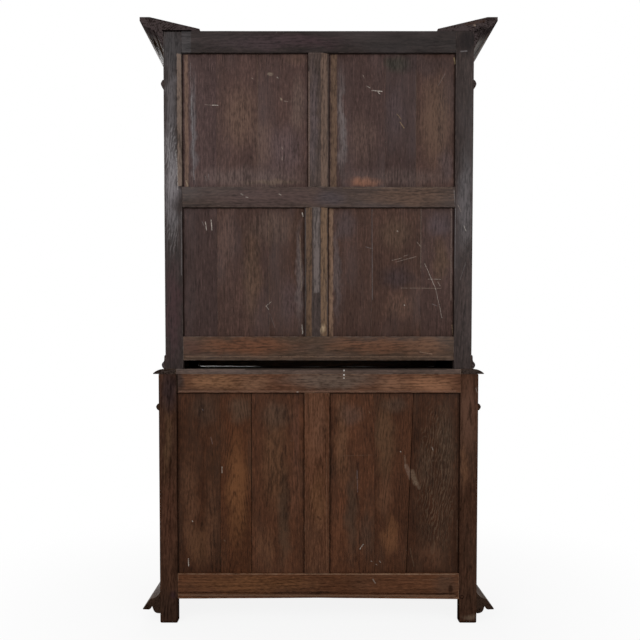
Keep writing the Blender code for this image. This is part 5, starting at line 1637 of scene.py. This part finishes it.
LEFT_PLANKS: tuple[Look, ...] = (
    Look(0.67, 0.1, (0.015, 0.012), 0.02, patches=(Patch(446, 450, 12, 50, (0.034, 0.021, 0.0135)),
        Patch(424, 466, 10, 24, (0.058, 0.034, 0.022), 0.4), Patch(430, 555, 18, 18, (0.056, 0.024, 0.013)),
        Patch(436, 480, 24, 95, (0.08, 0.054, 0.034), 0.34, Shape.RIPPLE)), marks=(
        Mark(412, 472, 415.5, 483, 0.015, (0.15, 0.104, 0.07), 0.55, 0.004, 0.5),
        Mark(416, 482, 419, 488, 0.01, (0.12, 0.082, 0.056), 0.5, 0.004, 0.5),
        Mark(432, 447, 433, 450, 0.0024, WHITE, 0.4),
        Mark(410, 548, 414, 566, 0.003, (0.1, 0.07, 0.045), 0.5, 0.008),
        Mark(457, 520, 457, 552, 0.0024, TAN, 0.5, 0.002))),
    Look(0.81, 0.2, (-0.01, 0.03), 0.09, 1.3, patches=(Patch(390, 535, 9, 22, (0.088, 0.038, 0.017), 0.6),
        Patch(385, 440, 12, 50, (0.062, 0.034, 0.018)), Patch(395, 405, 16, 10, (0.044, 0.028, 0.019)),
        Patch(384, 498, 9, 24, (0.08, 0.036, 0.019), 0.45)), marks=(
        Mark(404.5, 456, 405.5, 468, 0.006, (0.12, 0.08, 0.056), 0.5, 0.004, 0.6),
        Mark(406.5, 466, 410.5, 478, 0.012, (0.145, 0.095, 0.07), 0.6, 0.004, 0.5),
        Mark(404.5, 474, 410.5, 484, 0.0024, DARK, 0.5, 0.002, 0.5),
        Mark(400.6, 451.4, 400.8, 451.8, 0.0034, WHITE, 0.6, 0.0),
        Mark(379.5, 561, 380.5, 562.5, 0.0026, WHITE, 0.5), Mark(376, 564, 377, 565, 0.0022, WHITE, 0.4))),
    Look(1.12, 0.2, (0.0, 0.05), 0.05, patches=(Patch(342, 440, 9, 60, (0.078, 0.038, 0.02), 0.55),
        Patch(352, 510, 9, 60, (0.027, 0.018, 0.012), 0.6), Patch(366, 535, 8, 24, (0.032, 0.02, 0.014)),
        Patch(350, 415, 14, 14, (0.05, 0.03, 0.022))), marks=(
        Mark(358.5, 458, 359.5, 570, 0.0022, DARK, 0.75, 0.005),
        Mark(357, 470, 357.5, 492, 0.0022, PALE_GREY, 0.45), Mark(360, 549, 363, 544.5, 0.0036, WHITE),
        Mark(340, 456, 372, 455, 0.0014, TAN, 0.5), Mark(371, 561, 372, 561.5, 0.0022, WHITE, 0.5),
        Mark(369, 411, 370, 413, 0.003, TAN, 0.7))),
)


@dataclass
class CaseBoards(Assembly):
    """Tops, floors and shelves.

    The strip is the width of the moulded strips round the lower top, the lipping the depth of the dark edge on
    floors and shelves, and the drop how far that of the lower floor reaches down behind the plinth.
    """

    height: float = 1.03
    top_thickness: float = 0.02
    half: float = 0.6625
    front: float = -0.2415
    back: float = 0.285
    strip: float = 0.092
    lipping: float = 0.016
    drop: float = 0.008

    def build(self) -> None:
        """Build the tops, floors and shelves."""
        self.refined("upper_top_board_plank", "upper_top_board", INSIDE, Grain.ACROSS)
        for node in ("upper_floor_board", "lower_floor_board", "upper_shelf_1", "upper_shelf_2", "upper_shelf_3",
                "lower_shelf"):
            seam = (0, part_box(node)[0][1] + self.lipping, 0)
            self.refined(f"{node}_plank", node, INSIDE, Grain.ACROSS, (seam, (0, -1, 0)))
            lipping = self.refined(f"{node}_lipping", node, POLISHED, Grain.ACROSS, (seam, (0, 1, 0)), arris=0.0022)
            if node == "lower_floor_board":
                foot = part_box(node)[0][2] + self.lipping / 2
                Bench.shift(lipping, (0, 0, -self.drop), lambda spot: spot.z < foot)
        self._lower_top()

    def _lower_top(self) -> None:
        """Build the top of the lower body: a board between three moulded strips."""
        z_low = self.height - self.top_thickness
        inner = self.half - self.strip
        self.board("lower_top_plank", "lower_top_board", (-inner + SLACK, self.front + self.strip, z_low),
            (inner - SLACK, self.back, self.height), UPPER_FRAME, Grain.ACROSS, TOP_LOOK)
        mitre = self.front + self.strip
        for side in Side:
            self.refined(f"lower_top_{side.word}_strip", "lower_top_board", TOP_STRIP, Grain.DEEP,
                ((side.value * inner, 0, 0), (-side.value, 0, 0)),
                ((side.value * inner, mitre, 0), (-side.value, -1, 0)), look=Look(wear=0.4))
        self.refined("lower_top_front_strip", "lower_top_board", POLISHED, Grain.ACROSS, ((0, mitre, 0), (0, 1, 0)),
            ((inner, mitre, 0), (1, 1, 0)), ((-inner, mitre, 0), (-1, 1, 0)))


TOP_LOOK: Look = Look(1.38, 0.56, wear=1.5, marks=(Mark(246, 369.2, 446, 369.2, 0.004, PITCH, 0.85, 0.001, 0.2),
    Mark(344, 370.2, 344, 370.8, 0.0042, (0.7, 0.68, 0.64), 0.7, 0.0)))


@dataclass
class Mouldings(Assembly):
    """Cornice, plinth, astragals and base moulding, each of three mitred lengths.

    The seat is how far the front base moulding is let down, the lift how far its right end stands up again.
    """

    upper_half: float = 0.6125
    upper_front: float = -0.131
    lower_half: float = 0.641
    lower_front: float = -0.215
    seat: float = -0.0004
    lift: float = 0.0014
    lift_start: float = 0.24

    def build(self) -> None:
        """Build the five mouldings."""
        for node, arris in (("cornice", 0.0012), ("upper_frieze_moulding", 0.0006), ("upper_base_moulding", 0.0006)):
            self._run(node, self.upper_half, self.upper_front, arris, UPPER_MOULDING)
        self._seat(bpy.data.objects["upper_base_moulding_front"])
        for node, arris in (("plinth", 0.0012), ("lower_frieze_moulding", 0.0006)):
            self._run(node, self.lower_half, self.lower_front, arris, LOWER_MOULDING)

    def _seat(self, base: Piece) -> None:
        """Lower the front base moulding on to the top, and lift its right end where light shows through.

        Args:
            base: The front base moulding.
        """
        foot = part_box("upper_base_moulding")[0][2] + 0.002
        Bench.saw(base, (self.lift_start, 0, 0), (1, 0, 0), drop=False)
        for start, lift in ((-self.upper_half * 2, self.seat), (self.upper_half - 0.05, self.lift)):
            Bench.shift(base, (0, 0, lift), lambda spot: spot.x > start and spot.z < foot)

    def _run(self, node: str, half: float, front: float, arris: float, side_finish: OakFinish) -> None:
        """Saw one moulding at its mitres and dress the three lengths.

        Args:
            node: The CAD node.
            half: X of the mitre's corner.
            front: Y of the mitre's corner.
            arris: Rounding of its edges.
            side_finish: Finish of the two side lengths.
        """
        left, right = (-half, front, 0), (half, front, 0)
        self.refined(f"{node}_front", node, POLISHED, Grain.ACROSS, (right, (1, 1, 0)), (left, (-1, 1, 0)),
            arris=arris)
        for side in Side:
            corner = right if side is Side.RIGHT else left
            look = MOULDING_LOOKS.get((node, side), Look(0.7, -0.3, wear=0.4))
            self.refined(f"{node}_{side.word}", node, side_finish, Grain.DEEP, (corner, (-side.value, -1, 0)),
                ((0, 0, 0), (-side.value, 0, 0)), arris=arris, look=look)


MOULDING_LOOKS: dict[tuple[str, Side], Look] = {
    # Right cornice: the two dark bands are the grooves of its profile, dirt and painted shade; the dark line along
    # its seat is a painted shadow.
    ("cornice", Side.RIGHT): Look(0.76, -0.5, wear=0.4, patches=(
        Patch(146.6, 27.0, 1.0, 0.9, PITCH, 0.9, Shape.BAND, 0.002),
        Patch(156.1, 32.2, 0.9, 0.9, PITCH, 0.9, Shape.BAND, 0.002)), marks=(
        Mark(162.4, 30.4, 191.0, 30.4, 0.003, PITCH, 0.95, 0.0, 0.0),)),
    # Left cornice: the two dark bands are the grooves of its profile, dirt and painted shade.
    ("cornice", Side.LEFT): Look(0.76, -0.5, wear=0.4, patches=(
        Patch(490.4, 27.0, 1.0, 0.9, PITCH, 0.9, Shape.BAND, 0.002),
        Patch(480.9, 32.2, 0.9, 0.9, PITCH, 0.9, Shape.BAND, 0.002)), marks=(
        Mark(474.0, 25.0, 475.0, 25.4, 0.006, (0.24, 0.18, 0.14), 0.8, 0.004),
        Mark(476.5, 31.5, 484.5, 28.5, 0.018, PITCH, 0.85, 0.012),
        Mark(488.0, 19.5, 494.0, 19.0, 0.012, (0.01, 0.006, 0.005), 0.8, 0.01),
        Mark(466.0, 24.0, 484.0, 21.0, 0.011, (0.042, 0.022, 0.015), 0.65, 0.01))),
}


@dataclass
class FrontFrames(Assembly):
    """Frieze rail of the upper body and drawer frame of the lower one."""

    rail_back: float = -0.189

    def build(self) -> None:
        """Build the two frames."""
        self.refined("upper_frieze_board", "upper_frieze_rail", POLISHED, Grain.ACROSS)
        self.refined("lower_drawer_rail", "lower_drawer_frame", POLISHED, Grain.ACROSS,
            ((0, self.rail_back, 0), (0, 1, 0)))
        self.refined("lower_drawer_runners", "lower_drawer_frame", INSIDE, Grain.DEEP,
            ((0, self.rail_back, 0), (0, -1, 0)))


@dataclass
class DoorPair(Assembly):
    """A pair of framed doors with hinges and a key.

    Near and far are the X of the meeting and of the hanging edge, the axis is the X of the hinges, and the hinge
    inset their distance from the ends of the door.
    """

    part: str
    near: float
    far: float
    low: float
    high: float
    front: float
    stile: float
    top_rail: float
    bottom_rail: float
    axis: float
    key_x: float
    key_z: float
    glazed: bool
    hinge_inset: float = 0.13

    def build(self) -> None:
        """Build both doors."""
        for side in Side:
            self._leaf(side)
            self._hinges(side)
        self._key()

    def _leaf(self, side: Side) -> None:
        """Build the frame and the filling of one door.

        Args:
            side: Which door.
        """
        node = f"{self.part}_{side.word}_door_frame"
        body = f"{self.part}_{side.word}_door"
        x_low, x_high = side.span(self.near, self.far)
        left, right = x_low + self.stile, x_high - self.stile
        bottom, top = self.low + self.bottom_rail, self.high - self.top_rail
        between = (((left, 0, 0), (-1, 0, 0)), ((right, 0, 0), (1, 0, 0)))
        for name, grain, cuts in (("left_stile", Grain.UPRIGHT, (((left, 0, 0), (1, 0, 0)),)),
                ("right_stile", Grain.UPRIGHT, (((right, 0, 0), (-1, 0, 0)),)),
                ("bottom_rail", Grain.ACROSS, (*between, ((0, 0, (bottom + top) / 2), (0, 0, 1)))),
                ("top_rail", Grain.ACROSS, (*between, ((0, 0, (bottom + top) / 2), (0, 0, -1))))):
            self.refined(f"{body}_{name}", node, POLISHED, grain, *cuts, body=body)
        if self.glazed:
            pane = Bench.copy(f"{body}_glass", f"{body}_pane")
            Bench.soften(pane, 0.0006)
            POLISH.glass(pane)
            self.settle(pane, body, f"{body}_glass")
        else:
            self.refined(f"{body}_field", f"{body}_panel", POLISHED, Grain.UPRIGHT, body=body)

    def _hinges(self, side: Side) -> None:
        """Build the two hinges of one door, the second a copy of the first.

        Args:
            side: Which door.
        """
        radius, half, finial = 0.0065, 0.045, 0.016
        top_z, bottom_z = self.high - self.hinge_inset, self.low + self.hinge_inset
        bead = [(0.0016, half + finial), (0.003, half + finial * 0.88), (0.004, half + finial * 0.62),
            (0.0034, half + finial * 0.42), (0.0024, half + finial * 0.32), (0.0056, half + finial * 0.1),
            (radius, half)]
        knuckles = [(radius, half * 0.36), (radius * 0.86, half * 0.35), (radius * 0.86, half * 0.33),
            (radius, half * 0.32)]
        profile = [(width, -level) for width, level in bead + knuckles]
        profile += [(width, level) for width, level in reversed(bead + knuckles)]
        place = (side.value * self.axis, self.front - 0.0003 - radius, top_z)
        barrel = Bench.turn("hinge_barrel", place, Axis.UPRIGHT, profile)
        x_low, x_high = side.span(self.axis, self.axis + 0.014)
        leaf = Bench.block("hinge_leaf", (x_low, self.front - 0.0023, top_z - 0.036),
            (x_high, self.front - 0.0003, top_z + 0.036))
        Bench.soften(leaf, 0.0006)
        screws = [Bench.turn("hinge_screw", (side.value * (self.axis + 0.0098), self.front - 0.0019, top_z + level),
            Axis.FRONTWARD, [(0.003, 0.0), (0.003, 0.0005), (0.0022, 0.0009)], 16)
            for level in (-0.026, 0.0, 0.026)]
        hinge = Bench.join(f"{self.part}_{side.word}_hinge_top_brass", [barrel, leaf, *screws])
        twin = Bench.again(hinge, f"{self.part}_{side.word}_hinge_bottom_brass", (0, 0, bottom_z - top_z))
        for piece, level in ((hinge, "top"), (twin, "bottom")):
            POLISH.metal(piece, AGED_BRASS)
            self.settle(piece, "carcass", f"{self.part}_{side.word}_hinge_{level}")

    def _key(self) -> None:
        """Build the key in the right door and the ring plate round its hole."""
        place = (self.key_x, self.front, self.key_z)
        plate = Bench.turn(f"{self.part}_key_plate", place, Axis.FRONTWARD,
            [(0.0105, 0.0002), (0.0105, 0.0008), (0.0092, 0.0015), (0.006, 0.0016), (0.0046, 0.0011),
            (0.0046, 0.0002)])
        POLISH.metal(plate, AGED_BRASS)
        self.settle(plate, f"{self.part}_right_door")
        shaft = Bench.turn("key_shaft", place, Axis.FRONTWARD,
            [(0.0024, -0.012), (0.0028, -0.0114), (0.0028, 0.0024), (0.0046, 0.0034), (0.0048, 0.0048),
            (0.0046, 0.0062), (0.003, 0.0072), (0.0027, 0.015), (0.0034, 0.0164), (0.0034, 0.0178), (0.0026, 0.019),
            (0.0026, 0.0236)], 20)
        Bench.clear()
        bpy.ops.mesh.primitive_torus_add(major_segments=36, minor_segments=12, major_radius=0.01,
            minor_radius=0.0024, rotation=(0, math.pi / 2, 0),
            location=(self.key_x, self.front - 0.0326, self.key_z))
        bow = Bench.named("key_bow")
        Bench.edit(bow, "VERT", lambda spot: abs(spot.z - self.key_z) > 0.004)
        bpy.ops.transform.resize(value=(0.86, 0.94, 1.0))
        Bench.done()
        bpy.ops.object.shade_smooth()
        key = Bench.join(f"{self.part}_door_key_steel", [shaft, bow])
        POLISH.metal(key, KEY_STEEL)
        self.settle(key, f"{self.part}_key", f"{self.part}_door_key")


@dataclass
class Drawers(Assembly):
    """Two frieze drawers with turned knobs."""

    front_back: float = -0.195

    def build(self) -> None:
        """Build both drawers."""
        for side in Side:
            node, body = f"{side.word}_drawer", f"{side.word}_drawer_body"
            self.refined(f"{node}_front", node, POLISHED, Grain.ACROSS, ((0, self.front_back, 0), (0, 1, 0)),
                body=body)
            self.refined(f"{node}_box", node, INSIDE, Grain.DEEP, ((0, self.front_back, 0), (0, -1, 0)), body=body)
            low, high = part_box(f"{node}_knob")
            middle = [(a + b) / 2 for a, b in zip(low, high)]
            knob = Bench.turn(f"{node}_knob_brass", (middle[0], high[1], middle[2]), Axis.FRONTWARD,
                [(0.012, 0.0), (0.0124, 0.0016), (0.011, 0.003), (0.007, 0.0042), (0.0056, 0.008), (0.0062, 0.012),
                (0.01, 0.015), (0.0146, 0.018), (0.0159, 0.0212), (0.0152, 0.0246), (0.0122, 0.0276),
                (0.008, 0.0292), (0.003, 0.0299)], 36)
            POLISH.metal(knob, AGED_BRASS)
            self.settle(knob, body, f"{node}_knob")


@dataclass
class Studio:
    """Floor, light and camera."""

    floor_half: float = 9.0
    world_light: float = 0.55

    def build(self) -> None:
        """Set up the studio."""
        self._world()
        self._floor()
        self._lamps()
        self._camera()

    @staticmethod
    def _seen(tree: Tree) -> Socket:
        """Whether a ray shows the background to the camera, straight or by gloss or glass.

        Args:
            tree: Tree of the world or of a material.

        Returns:
            1 for such a ray, else 0.
        """
        path = tree.node("LightPath")
        shown = tree.math("MAXIMUM", path.outputs["Is Camera Ray"], path.outputs["Is Glossy Ray"])
        return tree.math("MAXIMUM", shown, path.outputs["Is Transmission Ray"])

    @staticmethod
    def _shade(tree: Tree, output: str, share: Socket, *shaders: bpy.types.Node) -> None:
        """Mix two shaders and lead them to the output of a tree.

        Args:
            tree: Tree of the world or of a material.
            output: Type of its output node, without its ShaderNode prefix.
            share: Share of the second shader.
            shaders: The two shaders.
        """
        both = tree.node("MixShader")
        for socket, source in zip(both.inputs, (share, *(shader.outputs[0] for shader in shaders))):
            tree.feed(socket, source)
        tree.feed(tree.node(output).inputs[0], both.outputs[0])

    def _world(self) -> None:
        """A soft light all round, and white behind the bookcase."""
        world = bpy.data.worlds.new("studio_world")
        bpy.context.scene.world = world
        world.use_nodes = True
        tree = Tree(world.node_tree)
        world.node_tree.nodes.clear()
        light = tree.node("Background", Color=(1.0, 1.0, 1.0), Strength=self.world_light)
        white = tree.node("Background", Color=(1.0, 1.0, 1.0), Strength=1.0)
        self._shade(tree, "OutputWorld", self._seen(tree), light, white)

    def _floor(self) -> None:
        """A pale floor that keeps the shadow and turns to white further out."""
        Bench.clear()
        bpy.ops.mesh.primitive_plane_add(size=2 * self.floor_half)
        floor = Bench.named("studio_floor")
        Bench.edit(floor)
        bpy.ops.mesh.subdivide(number_cuts=8)
        Bench.done()
        material = bpy.data.materials.new("pale_floor")
        material.use_nodes = True
        tree = Tree(material.node_tree)
        material.node_tree.nodes.clear()
        place = tree.node("TexCoord").outputs["Object"]
        far = tree.vector("LENGTH", tree.vector("MULTIPLY", place, (0.8, 1.0, 1.0)))
        white = tree.plus(0.88, tree.times(tree.step(far, 0.4, 1.7), 0.12))
        white = tree.times(white, self._seen(tree))
        matt = tree.node("BsdfDiffuse", Color=(0.55, 0.55, 0.55))
        glow = tree.node("Emission", Color=(1.0, 1.0, 1.0), Strength=1.0)
        self._shade(tree, "OutputMaterial", white, matt, glow)
        floor.data.materials.append(material)

    @staticmethod
    def _lamps() -> None:
        """Large soft lamps high up at the back and the front."""
        for name, place, size, power in (("back_left_lamp", (2.2, 3.0, 2.6), 2.2, 70.0),
                ("back_right_lamp", (-2.2, 3.0, 2.2), 2.2, 60.0), ("front_lamp", (0.8, -3.4, 2.4), 2.6, 100.0)):
            lamp = bpy.data.lights.new(name, "AREA")
            lamp.energy = power
            lamp.size = size
            holder = bpy.data.objects.new(name, lamp)
            holder.location = place
            aim = Vector((0.0, 0.0, 1.15)) - Vector(place)
            holder.rotation_euler = aim.to_track_quat("-Z", "Y").to_euler()
            bpy.context.scene.collection.objects.link(holder)

    @staticmethod
    def _camera() -> None:
        """The camera of the photograph."""
        lens = bpy.data.cameras.new("photo_camera")
        lens.sensor_width = SIGHT.sensor
        lens.lens = SIGHT.focal * SIGHT.sensor / SIGHT.width
        lens.shift_x = (SIGHT.width / 2 - SIGHT.middle[0]) / SIGHT.width
        lens.shift_y = (SIGHT.middle[1] - SIGHT.width / 2) / SIGHT.width
        camera = bpy.data.objects.new("photo_camera", lens)
        camera.location = SIGHT.place
        camera.rotation_euler = (math.pi / 2 - SIGHT.pitch, 0.0, math.pi)
        bpy.context.scene.collection.objects.link(camera)
        bpy.context.scene.camera = camera


def main() -> None:
    """Build the studio and every sub-assembly in order."""
    logging.basicConfig(level=logging.INFO, format="%(message)s")
    bpy.context.scene.view_settings.view_transform = "Standard"
    upper_doors = DoorPair("upper", near=0.00075, far=0.54, low=1.0875, high=2.1375, front=-0.131, stile=0.065,
        top_rail=0.075, bottom_rail=0.11, axis=0.54075, key_x=0.03325, key_z=1.606, glazed=True)
    lower_doors = DoorPair("lower", near=0.00075, far=0.5685, low=0.1478, high=0.8625, front=-0.215, stile=0.075,
        top_rail=0.08, bottom_rail=0.095, axis=0.56925, key_x=0.03825, key_z=0.5663, glazed=False)
    for part in (Studio(), Carcass(), UpperBack(), LowerBack(), CaseBoards(), Mouldings(), FrontFrames(),
            upper_doors, lower_doors, Drawers()):
        part.build()
        LOG.info("%s is built", type(part).__name__)
    Bench.clear()


if __name__ == "__main__":
    main()
